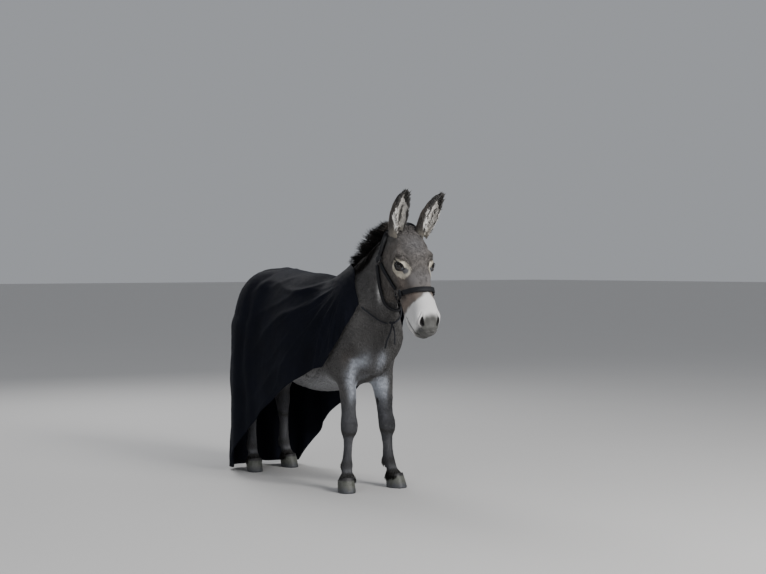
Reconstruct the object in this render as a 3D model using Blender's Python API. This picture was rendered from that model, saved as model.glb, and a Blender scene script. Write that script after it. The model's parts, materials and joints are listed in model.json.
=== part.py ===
"""A miniature donkey standing square, life size, in a webbing halter and a long tied cape.

Run with: blender --background --python part.py
Metres, +Z up. The donkey faces -Y and its left side is +X. Its fore hooves stand near y = 0 while it is
modelled; at the end everything is moved so that the middle of its footprint box is the origin.
The coat is part of these solids: their surface is the tips of the hair.
"""
import math

import bmesh
import bpy
import numpy as np
from mathutils import Matrix, Vector

EAR_LENGTH = 0.172
EYE_RADIUS = 0.0195
# middle of the whole model's footprint box, as it is modelled
FOOTPRINT_CENTRE = (0.0, 0.186)

# cell size of the grid that the body's surface is read from, and how many triangles it is thinned to
BODY_GRID = 0.008
BODY_TRIANGLES = 2650
# The flat faces run inside the curved surface, so the body is made this much fuller.
FACET_ALLOWANCE = 0.0008
# clear space between neighbouring solids
GAP = 0.0004
# how far a block's corner moves when its faces move by 1
CORNER_SHARE = 1.8


def unit(v):
    v = np.asarray(v, float)
    return v / np.linalg.norm(v)


# ---------------------------------------------------------------- fields
# A field gives each point its rough distance from a form: negative inside, positive outside.

def merge(a, b, blend):
    """Union of two fields with a rounded join about blend wide."""
    h = np.clip(0.5 + 0.5 * (b - a) / blend, 0, 1)
    return b + (a - b) * h - blend * h * (1 - h)


def oval_distance(parts, sizes, power=2.0):
    """Rough distance from an oval whose half sizes may differ from point to point."""
    sizes = [np.maximum(s, 1e-4) for s in sizes]
    scaled = [np.abs(p) / s for p, s in zip(parts, sizes)]
    reach = np.maximum(sum(q ** power for q in scaled), 1e-9) ** (1 / power)
    slope = sum((q ** (power - 1) / s) ** 2 for q, s in zip(scaled, sizes))
    slope = np.sqrt(np.maximum(slope, 1e-9)) * reach ** (1 - power)
    return (reach - 1) / np.maximum(slope, 1e-6)


class Frame:
    """A place with three directions: side, along and up."""

    def __init__(self, origin, along, up, side=None):
        self.origin = np.asarray(origin, float)
        self.along = unit(along)
        up = np.asarray(up, float)
        self.up = unit(up - self.along * (up @ self.along))
        self.side = np.cross(self.along, self.up) if side is None else unit(side)

    def local(self, points):
        d = points - self.origin
        return d @ self.side, d @ self.along, d @ self.up

    def world(self, side, along, up):
        return self.origin + self.side * side + self.along * along + self.up * up


class Loft:
    """A form swept along a frame's axis through oval stations.

    Each station is (along, side middle, up middle, half width, half height above, half height below). ridge
    is the share by which the form is narrower at its top than at its middle.
    """

    def __init__(self, frame, stations, caps=(0.03, 0.03), power=2.0, ridge=0.0):
        rows = np.asarray(stations, float)
        t, values = rows[:, 0], rows[:, 1:]
        slopes = np.gradient(values, t, axis=0)
        self.t = np.linspace(t[0], t[-1], 160)
        i = np.clip(np.searchsorted(t, self.t, side="right") - 1, 0, len(t) - 2)
        h = (t[i + 1] - t[i])[:, None]
        u = (self.t - t[i])[:, None] / h
        self.values = (
            (2 * u ** 3 - 3 * u ** 2 + 1) * values[i]
            + (u ** 3 - 2 * u ** 2 + u) * h * slopes[i]
            + (3 * u ** 2 - 2 * u ** 3) * values[i + 1]
            + (u ** 3 - u ** 2) * h * slopes[i + 1]
        )
        self.frame, self.caps, self.power, self.ridge = frame, caps, power, ridge

    def at(self, t):
        return [np.interp(t, self.t, column) for column in self.values.T]

    def __call__(self, points):
        side, along, up = self.frame.local(points)
        side_mid, up_mid, width, above, below = self.at(along)
        side, up = side - side_mid, up - up_mid
        over = np.minimum(along - self.t[0], 0) / self.caps[0]
        over += np.maximum(along - self.t[-1], 0) / self.caps[1]
        width = width * (1 - self.ridge * np.clip(up / above, 0, 1))
        high = np.where(up > 0, above, below)
        return oval_distance([side, up, over], [width, high, np.ones(len(up))], self.power)


def mass(points, frame, centre, half_sizes):
    """Field of an ellipsoid in a frame; centre and half sizes are side, along, up."""
    side, along, up = frame.local(points)
    parts = [side - centre[0], along - centre[1], up - centre[2]]
    return oval_distance(parts, [np.full(len(up), h) for h in half_sizes])


def bar(points, start, end, start_radius, end_radius):
    """Field of a round tapered bar."""
    start, end = np.asarray(start, float), np.asarray(end, float)
    line = end - start
    t = np.clip((points - start) @ line / (line @ line), 0, 1)
    nearest = start + t[:, None] * line
    return np.linalg.norm(points - nearest, axis=1) - (start_radius + (end_radius - start_radius) * t)


def near_only(field, centre, reach):
    """The same field, worked out only within reach of centre, to save time."""
    def limited(points):
        away = np.linalg.norm(points - np.asarray(centre), axis=1) - reach
        value = np.maximum(away, 0.0) + 0.08
        close = away < 0
        if close.any():
            value[close] = field(points[close])
        return value
    return limited


# ---------------------------------------------------------------- the animal

STANDING = Frame((0, 0, 0), (0, 1, 0), (0, 0, 1), (1, 0, 0))

# along y: half width and topline of the trunk, from the breast to the buttocks
TRUNK_STATIONS = [
    (-0.085, -0.010, 0.590, 0.072, 0.120, 0.125),
    (-0.020, -0.010, 0.580, 0.098, 0.220, 0.163),
    (0.060, -0.007, 0.575, 0.124, 0.238, 0.187),
    (0.150, -0.003, 0.565, 0.152, 0.226, 0.196),
    (0.265, 0, 0.555, 0.172, 0.257, 0.198),
    (0.375, 0, 0.565, 0.171, 0.252, 0.196),
    (0.470, 0, 0.600, 0.156, 0.228, 0.198),
    (0.555, 0, 0.635, 0.143, 0.192, 0.175),
    (0.635, 0, 0.645, 0.128, 0.158, 0.145),
    (0.685, 0, 0.650, 0.100, 0.116, 0.110),
]
TRUNK = Loft(STANDING, TRUNK_STATIONS, caps=(0.050, 0.045), power=2.15)

NECK_FRAME = Frame((0, 0.020, 0.690), (0, -0.220, 0.215), (0, 0.215, 0.22), (1, 0, 0))
NECK_STATIONS = [
    (-0.040, 0, 0.000, 0.098, 0.126, 0.165),
    (0.060, 0, 0.004, 0.086, 0.132, 0.148),
    (0.150, 0.001, 0.007, 0.071, 0.124, 0.124),
    (0.240, 0.003, 0.009, 0.062, 0.105, 0.104),
    (0.320, 0.006, 0.010, 0.058, 0.084, 0.086),
]
NECK = Loft(NECK_FRAME, NECK_STATIONS, caps=(0.05, 0.045), power=2.1, ridge=0.36)

FACE_PITCH = math.radians(55)
FACE_TURN = math.radians(15)
POLL = (0.010, -0.254, 0.986)


def face_frame():
    """Origin at the poll, along to the muzzle, up out of the forehead, side to the donkey's left."""
    level = np.array([-math.sin(FACE_TURN), -math.cos(FACE_TURN), 0])
    along = level * math.cos(FACE_PITCH) - np.array([0, 0, math.sin(FACE_PITCH)])
    up = level * math.sin(FACE_PITCH) + np.array([0, 0, math.cos(FACE_PITCH)])
    return Frame(POLL, along, up, np.cross(along, up) * -1)


FACE = face_frame()
SKULL_STATIONS = [
    (-0.015, 0, -0.056, 0.050, 0.046, 0.046),
    (0.030, 0, -0.056, 0.067, 0.068, 0.060),
    (0.075, 0, -0.060, 0.074, 0.083, 0.065),
    (0.120, 0, -0.062, 0.072, 0.082, 0.065),
    (0.165, 0, -0.060, 0.061, 0.068, 0.060),
    (0.210, 0, -0.058, 0.050, 0.055, 0.053),
    (0.255, 0, -0.057, 0.0450, 0.047, 0.050),
    (0.300, 0, -0.057, 0.0450, 0.044, 0.048),
    (0.340, 0, -0.058, 0.0475, 0.042, 0.046),
    (0.370, 0, -0.061, 0.0440, 0.038, 0.041),
    (0.391, 0, -0.069, 0.0350, 0.031, 0.031),
]
SKULL = Loft(FACE, SKULL_STATIONS, caps=(0.030, 0.014), power=2.2)
JAW_STATIONS = [
    (0.080, 0, -0.120, 0.052, 0.050, 0.052),
    (0.130, 0, -0.126, 0.052, 0.050, 0.050),
    (0.190, 0, -0.119, 0.050, 0.042, 0.050),
    (0.250, 0, -0.114, 0.050, 0.038, 0.050),
    (0.310, 0, -0.110, 0.051, 0.035, 0.049),
    (0.350, 0, -0.108, 0.049, 0.032, 0.043),
    (0.376, 0, -0.102, 0.041, 0.024, 0.034),
]
JAW = Loft(FACE, JAW_STATIONS, caps=(0.040, 0.014))
EYE_PLACE = (0.0560, 0.138, -0.034)


def mirrored(frame, place, sign):
    return frame.world(sign * place[0], place[1], place[2])


def head_field(points):
    d = merge(SKULL(points), JAW(points), 0.022)
    for sign in (-1, 1):
        d = merge(d, mass(points, FACE, (sign * 0.040, 0.112, -0.112), (0.027, 0.074, 0.064)), 0.02)
        d = merge(d, mass(points, FACE, (sign * 0.060, 0.112, -0.026), (0.021, 0.036, 0.024)), 0.016)
        ridge = mirrored(FACE, (0.058, 0.130, -0.066), sign), mirrored(FACE, (0.040, 0.245, -0.070), sign)
        d = merge(d, bar(points, *ridge, 0.013, 0.007), 0.018)
        d = merge(d, mass(points, FACE, (sign * 0.030, 0.356, -0.046), (0.021, 0.027, 0.022)), 0.014)
    d = merge(d, mass(points, FACE, (0, 0.386, -0.076), (0.030, 0.026, 0.026)), 0.012)
    d = merge(d, mass(points, FACE, (0, 0.368, -0.112), (0.032, 0.028, 0.022)), 0.010)
    return d


class Ear:
    """A tall leaf rolled round its own axis: a tube at its root that opens towards the front."""

    # along the ear: radius of the roll and half the angle that it covers
    STATIONS = [(0.0, 0.023, 2.75), (0.18, 0.029, 2.25), (0.42, 0.0355, 1.90), (0.65, 0.0330, 1.72),
                (0.84, 0.0250, 1.62), (0.95, 0.0150, 1.57), (1.0, 0.0070, 1.57)]
    THICKNESS = 0.0055

    def __init__(self, root_side, lean, opening):
        self.frame = Frame(FACE.world(root_side, 0.008, -0.024), lean, opening)
        self.rows = np.array(self.STATIONS)

    def roll(self, t):
        """Radius of the roll and half the angle that it covers, at a share of the ear's length."""
        return np.interp(t, self.rows[:, 0], self.rows[:, 1]), np.interp(t, self.rows[:, 0], self.rows[:, 2])

    def place(self, t, angle, radius):
        """A place on the ear; the angle is 0 at the middle of its back."""
        return self.frame.world(radius * math.sin(angle), EAR_LENGTH * t, -radius * math.cos(angle))


EARS = {
    "left": Ear(0.052, (0.22, -0.58, 1.0), (0.28, -1.0, 0.0)),
    "right": Ear(-0.052, (-0.02, -0.46, 1.0), (0.12, -1.0, 0.0)),
}


def leg_frame(x, y, turn_deg):
    turn = math.radians(turn_deg)
    return Frame((x, y, 0), (0, 0, 1), (math.sin(turn), -math.cos(turn), 0))


# up the leg: sideways and forward shift, half width, half depth in front, half depth behind
FORELEG_STATIONS = [
    (0.020, 0, 0.028, 0.0300, 0.030, 0.030),
    (0.052, 0, 0.016, 0.0300, 0.031, 0.031),
    (0.076, 0, 0.007, 0.0225, 0.022, 0.026),
    (0.100, 0, -0.002, 0.0235, 0.024, 0.034),
    (0.126, 0, -0.003, 0.0195, 0.022, 0.028),
    (0.162, 0, -0.001, 0.0180, 0.020, 0.026),
    (0.200, 0, 0.000, 0.0220, 0.024, 0.028),
    (0.226, 0, 0.004, 0.0325, 0.031, 0.034),
    (0.256, 0, 0.004, 0.0350, 0.034, 0.035),
    (0.292, 0, 0.001, 0.0305, 0.031, 0.035),
    (0.360, 0, -0.002, 0.0335, 0.040, 0.042),
    (0.430, 0, -0.006, 0.0400, 0.053, 0.057),
    (0.520, 0, -0.015, 0.0470, 0.070, 0.080),
]
HINDLEG_STATIONS = [
    (0.020, 0, 0.028, 0.0295, 0.030, 0.030),
    (0.052, 0, 0.016, 0.0295, 0.031, 0.031),
    (0.076, 0, 0.006, 0.0225, 0.022, 0.027),
    (0.104, 0, -0.005, 0.0240, 0.024, 0.034),
    (0.135, 0, -0.006, 0.0205, 0.023, 0.029),
    (0.190, 0, -0.006, 0.0190, 0.022, 0.028),
    (0.240, 0, -0.010, 0.0240, 0.027, 0.032),
    (0.285, 0, -0.012, 0.0290, 0.036, 0.042),
    (0.328, 0, -0.010, 0.0265, 0.036, 0.050),
    (0.375, 0, 0.010, 0.0290, 0.042, 0.046),
    (0.430, 0, 0.040, 0.0390, 0.062, 0.062),
    (0.500, 0, 0.068, 0.0530, 0.087, 0.095),
    (0.600, 0, 0.060, 0.0660, 0.112, 0.120),
]
# where each foot stands and how far it is turned out
FORE_LEGS = {"fore_left": (0.119, -0.008, 16.0), "fore_right": (-0.087, 0.014, -20.0)}
HIND_LEGS = {"hind_left": (0.088, 0.679, 8.0), "hind_right": (-0.088, 0.665, -10.0)}
# how far each leg has moved inwards from its foot at each height
LEG_LEAN = {
    "fore_left": ((0, 0), (0.10, 0.005), (0.24, 0.031), (0.37, 0.046), (0.52, 0.070)),
    "fore_right": ((0, 0), (0.10, 0.010), (0.24, 0.017), (0.37, 0.014), (0.52, -0.001)),
    "hind_left": ((0, 0), (0.30, 0.004), (0.60, 0.008)),
    "hind_right": ((0, 0), (0.30, 0.004), (0.60, 0.008)),
}


def leg(name, foot, stations):
    """The leg's loft: it leans inwards towards the trunk as it rises."""
    x, y, turn = foot
    frame = leg_frame(x, y, turn)
    inward = -math.copysign(1, x * frame.side[0])
    heights, leans = zip(*LEG_LEAN[name])
    rows = [(t, inward * np.interp(t, heights, leans) + s, u, w, a, b) for t, s, u, w, a, b in stations]
    return Loft(frame, rows, caps=(0.005, 0.05))


LEGS = {name: leg(name, foot, FORELEG_STATIONS) for name, foot in FORE_LEGS.items()}
LEGS |= {name: leg(name, foot, HINDLEG_STATIONS) for name, foot in HIND_LEGS.items()}

TAIL_FRAME = Frame((0, 0.723, 0.770), (0, 0.10, -0.995), (0, 1, 0), (1, 0, 0))
TAIL_STATIONS = [
    (-0.020, 0, -0.030, 0.028, 0.026, 0.030),
    (0.040, 0, 0.008, 0.023, 0.020, 0.022),
    (0.150, 0, 0.010, 0.019, 0.016, 0.018),
    (0.260, 0, 0.004, 0.018, 0.016, 0.017),
    (0.340, 0, 0.000, 0.026, 0.023, 0.024),
    (0.430, 0, -0.004, 0.030, 0.026, 0.026),
    (0.500, 0, -0.008, 0.016, 0.014, 0.014),
]
TAIL = Loft(TAIL_FRAME, TAIL_STATIONS, caps=(0.03, 0.025))

# The breast leans a little to the donkey's right.
CHEST_SHIFT = -0.010


def trunk_field(points):
    breast = mass(points, STANDING, (CHEST_SHIFT, -0.085, 0.560), (0.074, 0.058, 0.110))
    d = merge(TRUNK(points), breast, 0.05)
    for sign in (-1, 1):
        blade_middle = (sign * 0.079 + CHEST_SHIFT, -0.015, 0.655)
        blade = Frame(blade_middle, (-sign * 0.20, 0.42, 1.0), (0, -1, 0.42))
        shoulder = (sign * 0.054 + CHEST_SHIFT, -0.088, 0.580)
        elbow = (sign * 0.084 + CHEST_SHIFT, 0.040, 0.520)
        d = merge(d, mass(points, blade, (0, 0, 0), (0.042, 0.145, 0.080)), 0.05)
        d = merge(d, mass(points, STANDING, shoulder, (0.042, 0.046, 0.064)), 0.04)
        d = merge(d, mass(points, STANDING, elbow, (0.042, 0.080, 0.090)), 0.05)
        d = merge(d, mass(points, STANDING, (sign * 0.078, 0.595, 0.640), (0.075, 0.125, 0.162)), 0.05)
        d = merge(d, mass(points, STANDING, (sign * 0.055, 0.680, 0.600), (0.058, 0.068, 0.130)), 0.05)
    return d


HEAD = near_only(head_field, FACE.world(0, 0.19, -0.07), 0.36)


def flesh(points):
    """The donkey without its ears, tail and mane, out to the hair tips of its coat."""
    d = merge(trunk_field(points), NECK(points), 0.07)
    for name, field in LEGS.items():
        d = merge(d, field(points), 0.035 if name.startswith("fore") else 0.05)
    return merge(d, HEAD(points), 0.030)


# ---------------------------------------------------------------- from field to mesh

CORNERS = [(i, j, k) for i in (0, 1) for j in (0, 1) for k in (0, 1)]
EDGES = [(a, tuple(np.add(a, step))) for step in ((1, 0, 0), (0, 1, 0), (0, 0, 1)) for a in CORNERS
         if not np.dot(a, step)]


def sampled(field, low, high, step, coarse=4):
    """The field on a regular grid, worked out at every point only in the blocks near its surface."""
    blocks = np.ceil((np.asarray(high) - low) / (step * coarse)).astype(int)
    middles = [low[i] + step * coarse * (np.arange(blocks[i]) + 0.5) for i in range(3)]
    rough = field(np.stack(np.meshgrid(*middles, indexing="ij"), -1).reshape(-1, 3)).reshape(blocks)
    values = rough
    for axis in range(3):
        values = np.repeat(values, coarse, axis=axis)
    near = np.abs(rough) < step * coarse * 1.6 + 0.006
    inner = np.stack(np.meshgrid(*[np.arange(coarse)] * 3, indexing="ij"), -1).reshape(-1, 3)
    index = (np.argwhere(near)[:, None, :] * coarse + inner[None]).reshape(-1, 3)
    values[tuple(index.T)] = field(low + step * index)
    return values, blocks * coarse


def surface(field, low, high, step):
    """Vertices and quads of the field's surface, one vertex in each grid cell that it crosses."""
    low = np.asarray(low, float)
    values, count = sampled(field, low, high, step)
    inside = values < 0
    total = np.zeros(tuple(count - 1), np.int8)
    for c in CORNERS:
        total += inside[c[0]:count[0] - 1 + c[0], c[1]:count[1] - 1 + c[1], c[2]:count[2] - 1 + c[2]]
    cells = np.argwhere((total > 0) & (total < 8))
    number = np.full(tuple(count - 1), -1, np.int32)
    number[tuple(cells.T)] = np.arange(len(cells))
    place, hits = np.zeros((len(cells), 3)), np.zeros(len(cells))
    for a, b in EDGES:
        va = values[tuple((cells + a).T)]
        vb = values[tuple((cells + b).T)]
        cross = (va < 0) != (vb < 0)
        t = np.where(cross, va / np.where(cross, va - vb, 1), 0)
        point = np.array(a) + t[:, None] * (np.array(b) - np.array(a))
        place += point * cross[:, None]
        hits += cross
    vertices = low + step * (cells + place / hits[:, None])
    quads = []
    for axis in range(3):
        u, v = [(1, 2), (2, 0), (0, 1)][axis]
        step_to = np.zeros(3, int)
        step_to[axis] = 1
        start = np.argwhere(inside[tuple(slice(0, n - 1) for n in count)] != inside[tuple(
            slice(s, n - 1 + s) for s, n in zip(step_to, count))])
        start = start[(start[:, u] > 0) & (start[:, v] > 0)]
        du, dv = np.zeros(3, int), np.zeros(3, int)
        du[u], dv[v] = 1, 1
        ring = [number[tuple((start - a).T)] for a in (du + dv, dv, 0 * du, du)]
        quad = np.stack(ring, 1)
        flip = ~inside[tuple(start.T)]
        quad[flip] = quad[flip][:, ::-1]
        quads.append(quad)
    return vertices, np.concatenate(quads)


# ---------------------------------------------------------------- making objects

def clear_scene():
    for obj in list(bpy.data.objects):
        bpy.data.objects.remove(obj, do_unlink=True)


def material(name, color, roughness=0.8, metallic=0.0):
    mat = bpy.data.materials.get(name) or bpy.data.materials.new(name)
    mat.use_nodes = True
    shader = mat.node_tree.nodes["Principled BSDF"]
    shader.inputs["Base Color"].default_value = (*color, 1)
    shader.inputs["Roughness"].default_value = roughness
    shader.inputs["Metallic"].default_value = metallic
    mat.diffuse_color = (*color, 1)
    return mat


def new_object(name, mesh, mat=None):
    obj = bpy.data.objects.new(name, mesh)
    bpy.context.scene.collection.objects.link(obj)
    if mat:
        mesh.materials.clear()
        mesh.materials.append(mat)
    return obj


def mesh_of(name, vertices, faces):
    mesh = bpy.data.meshes.new(name)
    mesh.from_pydata([tuple(v) for v in vertices], [], [tuple(f) for f in faces])
    bm = bmesh.new()
    bm.from_mesh(mesh)
    bmesh.ops.triangulate(bm, faces=[f for f in bm.faces if len(f.verts) > 4])
    bmesh.ops.recalc_face_normals(bm, faces=bm.faces)
    bm.to_mesh(mesh)
    bm.free()
    return mesh


def applied(obj):
    """Bakes an object's modifiers into a mesh of its own."""
    graph = bpy.context.evaluated_depsgraph_get()
    mesh = bpy.data.meshes.new_from_object(obj.evaluated_get(graph))
    obj.modifiers.clear()
    obj.data = mesh
    return obj


def decimated(obj, triangles):
    have = sum(len(p.vertices) - 2 for p in obj.data.polygons)
    modifier = obj.modifiers.new("fewer", "DECIMATE")
    modifier.ratio = min(1.0, triangles / have)
    return applied(obj)


def combined(obj, other, operation):
    modifier = obj.modifiers.new(operation.lower(), "BOOLEAN")
    modifier.operation, modifier.solver, modifier.object = operation, "EXACT", other
    return applied(obj)


def copied(obj, name):
    return new_object(name, obj.data.copy())


def grown(obj, amount):
    """A copy of an object, swollen along its normals, to cut its neighbours with."""
    out = copied(obj, obj.name + "_cutter")
    modifier = out.modifiers.new("swell", "DISPLACE")
    modifier.strength, modifier.mid_level = amount, 0.0
    return applied(out)


def remove(*objects):
    for obj in objects:
        bpy.data.objects.remove(obj, do_unlink=True)


def block(name, bottom, top):
    """A convex zone between a bottom and a top ring of four corners."""
    mesh = bpy.data.meshes.new(name)
    bm = bmesh.new()
    for corner in [*bottom, *top]:
        bm.verts.new(corner)
    bmesh.ops.convex_hull(bm, input=bm.verts)
    bmesh.ops.recalc_face_normals(bm, faces=bm.faces)
    bm.to_mesh(mesh)
    bm.free()
    return new_object(name, mesh)


def frame_block(name, frame, low, high):
    """A box zone between two corners given along a frame's side, along and up."""
    def ring(up):
        square = ((low[0], low[1]), (high[0], low[1]), (high[0], high[1]), (low[0], high[1]))
        return [frame.world(s, a, up) for s, a in square]
    return block(name, ring(low[2]), ring(high[2]))


def split_off(rest, zone, name):
    """Cuts the part of rest that lies in zone off as an object of its own, with a thin gap between them."""
    piece = combined(copied(rest, name), zone, "INTERSECT")
    wide = widened(zone)
    combined(rest, wide, "DIFFERENCE")
    remove(zone, wide)
    return piece


def widened(zone):
    """A copy of a zone with its corners moved away from its middle: its faces move by about the gap."""
    out = copied(zone, zone.name + "_wide")
    middle = sum((v.co for v in out.data.vertices), Vector()) / len(out.data.vertices)
    for v in out.data.vertices:
        v.co += (v.co - middle).normalized() * GAP * CORNER_SHARE
    return out


def finished(obj, name, mat):
    obj.name = name
    obj.data.name = name
    obj.data.materials.clear()
    obj.data.materials.append(mat)
    obj.data.shade_smooth()
    obj.data.set_sharp_from_angle(angle=math.radians(35))
    return obj


def largest_body(obj):
    """Keeps an object's largest connected body."""
    bm = bmesh.new()
    bm.from_mesh(obj.data)
    seen, bodies = set(), []
    for start in bm.verts:
        if start in seen:
            continue
        body, stack = [], [start]
        seen.add(start)
        while stack:
            v = stack.pop()
            body.append(v)
            for edge in v.link_edges:
                other = edge.other_vert(v)
                if other not in seen:
                    seen.add(other)
                    stack.append(other)
        bodies.append(body)
    bodies.sort(key=len)
    for body in bodies[:-1]:
        bmesh.ops.delete(bm, geom=body, context="VERTS")
    bm.to_mesh(obj.data)
    bm.free()
    return obj


# ---------------------------------------------------------------- the animal's solids

HOOF_TOE_HEIGHT = 0.058
HOOF_HEEL_HEIGHT = 0.038
HOOF_TOP = (0.0305, 0.049, -0.016)
HOOF_SOLE = {"fore": (0.0330, 0.069, -0.014), "hind": (0.0310, 0.067, -0.013)}
HOOF_SIDES = 16
FEET = FORE_LEGS | HIND_LEGS
CORONET_SLOPE = (HOOF_TOE_HEIGHT - HOOF_HEEL_HEIGHT) / (HOOF_TOP[1] - HOOF_TOP[2])


def coronet(forward):
    """Height of the coronet's sloping plane at a place along the foot."""
    return HOOF_HEEL_HEIGHT + CORONET_SLOPE * (forward - HOOF_TOP[2])


def body_object():
    """The flesh as one mesh."""
    def full(points):
        return flesh(points) - FACET_ALLOWANCE
    vertices, quads = surface(full, (-0.24, -0.52, -0.02), (0.24, 0.82, 1.10), BODY_GRID)
    return decimated(new_object("body", mesh_of("body", vertices, quads)), BODY_TRIANGLES)


def head_zone():
    """The head, back to a plane from behind the ears to the throat."""
    def ring(back, up):
        square = ((-0.16, back), (0.16, back), (0.16, 0.47), (-0.16, 0.47))
        return [FACE.world(s, a, up) for s, a in square]
    return block("head_zone", ring(0.078, -0.212), ring(-0.010, 0.080))


def foreleg_zone(sign):
    inner, outer = sign * 0.018, sign * 0.210
    bottom = [(inner, -0.13, -0.05), (outer, -0.13, -0.05), (outer, 0.10, -0.05), (inner, 0.10, -0.05)]
    top = [(inner, -0.10, 0.385), (outer, -0.13, 0.520), (outer, 0.105, 0.520), (inner, 0.060, 0.385)]
    return block(f"foreleg_zone_{sign}", bottom, top)


def hindleg_zone(sign):
    inner, outer = sign * 0.004, sign * 0.210
    bottom = [(inner, 0.535, -0.05), (outer, 0.535, -0.05), (outer, 0.82, -0.05), (inner, 0.82, -0.05)]
    top = [(inner, 0.520, 0.445), (outer, 0.465, 0.600), (outer, 0.82, 0.600), (inner, 0.82, 0.500)]
    return block(f"hindleg_zone_{sign}", bottom, top)


def coronet_block(name):
    """All that lies below the coronet's plane of one foot."""
    x, y, turn = FEET[name]
    frame = leg_frame(x, y, turn)
    square = [(-0.08, -0.09), (0.08, -0.09), (0.08, 0.11), (-0.08, 0.11)]
    bottom = [frame.world(s, -0.05, f) for s, f in square]
    top = [frame.world(s, coronet(f) + GAP, f) for s, f in square]
    return block(name + "_coronet", bottom, top)


def squared(value):
    """A sine made fuller, so that the oval it draws is a little squarer."""
    return math.copysign(abs(value) ** 0.85, value)


def hoof(name):
    """A hoof: a flat sole, a wall that slopes back to the coronet, and its top along the coronet's plane."""
    x, y, turn = FEET[name]
    frame = leg_frame(x, y, turn)
    sole = HOOF_SOLE[name[:4]]

    def ring(size, height, shrink=0.0):
        half, toe, heel = size
        middle, reach = (toe + heel) / 2, (toe - heel) / 2
        points = []
        for i in range(HOOF_SIDES):
            angle = 2 * math.pi * i / HOOF_SIDES
            side = (half - shrink) * squared(math.sin(angle))
            forward = middle + (reach - shrink) * squared(math.cos(angle))
            points.append(frame.world(side, height(forward), forward))
        return points

    rings = [
        ring(sole, lambda f: 0.0, 0.003),
        ring(sole, lambda f: 0.004),
        ring(HOOF_TOP, lambda f: coronet(f) - 0.006, -0.0008),
        ring(HOOF_TOP, coronet, 0.001),
    ]
    return stack_of_rings(name + "_hoof", rings)


def stack_of_rings(name, rings, fans=True):
    """A solid through rings of equally many points, closed by a fan or one flat face at each end."""
    n = len(rings[0])
    vertices = [p for ring in rings for p in ring]
    if fans:
        vertices += [np.mean(rings[0], axis=0), np.mean(rings[-1], axis=0)]
    faces = []
    for r in range(len(rings) - 1):
        for i in range(n):
            j = (i + 1) % n
            faces.append((r * n + i, r * n + j, (r + 1) * n + j, (r + 1) * n + i))
    last = (len(rings) - 1) * n
    if not fans:
        faces += [tuple(range(n)), tuple(range(last, last + n))]
        return new_object(name, mesh_of(name, vertices, faces))
    for i in range(n):
        j = (i + 1) % n
        faces.append((j, i, len(vertices) - 2))
        faces.append((last + i, last + j, len(vertices) - 1))
    return new_object(name, mesh_of(name, vertices, faces))


def eyeball(side, extra=0.0):
    sign = 1 if side == "left" else -1
    bpy.ops.mesh.primitive_uv_sphere_add(segments=14, ring_count=9, radius=EYE_RADIUS + extra,
                                         location=mirrored(FACE, EYE_PLACE, sign))
    return bpy.context.object


EAR_STEPS = 9
EAR_SIDES = 9


def ear(side, body):
    """An ear: a leaf rolled round its own axis, its rims apart in front, cut where it enters the head."""
    leaf = EARS[side]
    rings = []
    for i in range(EAR_STEPS + 1):
        t = 1 - (1 - i / EAR_STEPS) ** 1.25
        radius, half_angle = leaf.roll(t)
        angles = [half_angle * (2 * j / EAR_SIDES - 1) for j in range(EAR_SIDES + 1)]
        outer = [leaf.place(t, a, radius + leaf.THICKNESS / 2) for a in angles]
        inner = [leaf.place(t, a, max(0.0008, radius - leaf.THICKNESS / 2)) for a in reversed(angles)]
        rings.append(outer + inner)
    obj = stack_of_rings("ear_" + side, rings, fans=False)
    combined(obj, body, "DIFFERENCE")
    return largest_body(obj)


# The mane stands on the crest from just behind the crown strap to the withers.
MANE_FRONT, MANE_BACK = -0.188, 0.010
MANE_HEIGHT = 0.052
MANE_WIDTH = 0.024
MANE_ROOT = 0.020
MANE_STEPS = 14


def crest(y):
    """Place and outward direction of the crest, the neck's top line, at one y."""
    line = np.linspace(0.60, 1.08, 241)
    side = np.interp(y, [-0.26, -0.05, 0.05], [0.006, 0.0, 0.0])
    places = np.stack([np.full(241, side), np.full(241, y), line], -1)
    top = line[np.nonzero(flesh(places) < 0)[0].max()]
    place = np.array([side, y, top])
    return place, gradient(flesh, place[None])[0]


def gradient(field, points, step=0.002):
    """Unit direction in which a field grows at each point."""
    out = np.empty_like(points)
    for axis in range(3):
        shift = np.zeros(3)
        shift[axis] = step
        out[:, axis] = field(points + shift) - field(points - shift)
    return out / np.maximum(np.linalg.norm(out, axis=1, keepdims=True), 1e-9)


def mane(body):
    """A ridge of upright hair, uneven along its top, cut where it would enter the neck."""
    rings = []
    for i in range(MANE_STEPS):
        t = i / (MANE_STEPS - 1)
        place, out = crest(MANE_FRONT + (MANE_BACK - MANE_FRONT) * t)
        bow = math.sin(math.pi * (0.18 + 0.75 * t))
        height = MANE_HEIGHT * (0.45 + 0.55 * bow) * (1 + 0.08 * math.sin(9.0 * i))
        half = [(0.5, -MANE_ROOT), (0.38, height / 2), (0.12, height)]
        outline = [(-s, h) for s, h in half] + half[::-1]
        rings.append([place + out * h + np.array([MANE_WIDTH * s, 0, 0]) for s, h in outline])
    obj = stack_of_rings("mane", rings)
    combined(obj, body, "DIFFERENCE")
    return largest_body(obj)


TAIL_STEPS = 13
TAIL_SIDES = 10
TAIL_TIP = 0.02
TAIL_TIP_SHARE = 0.38


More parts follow.
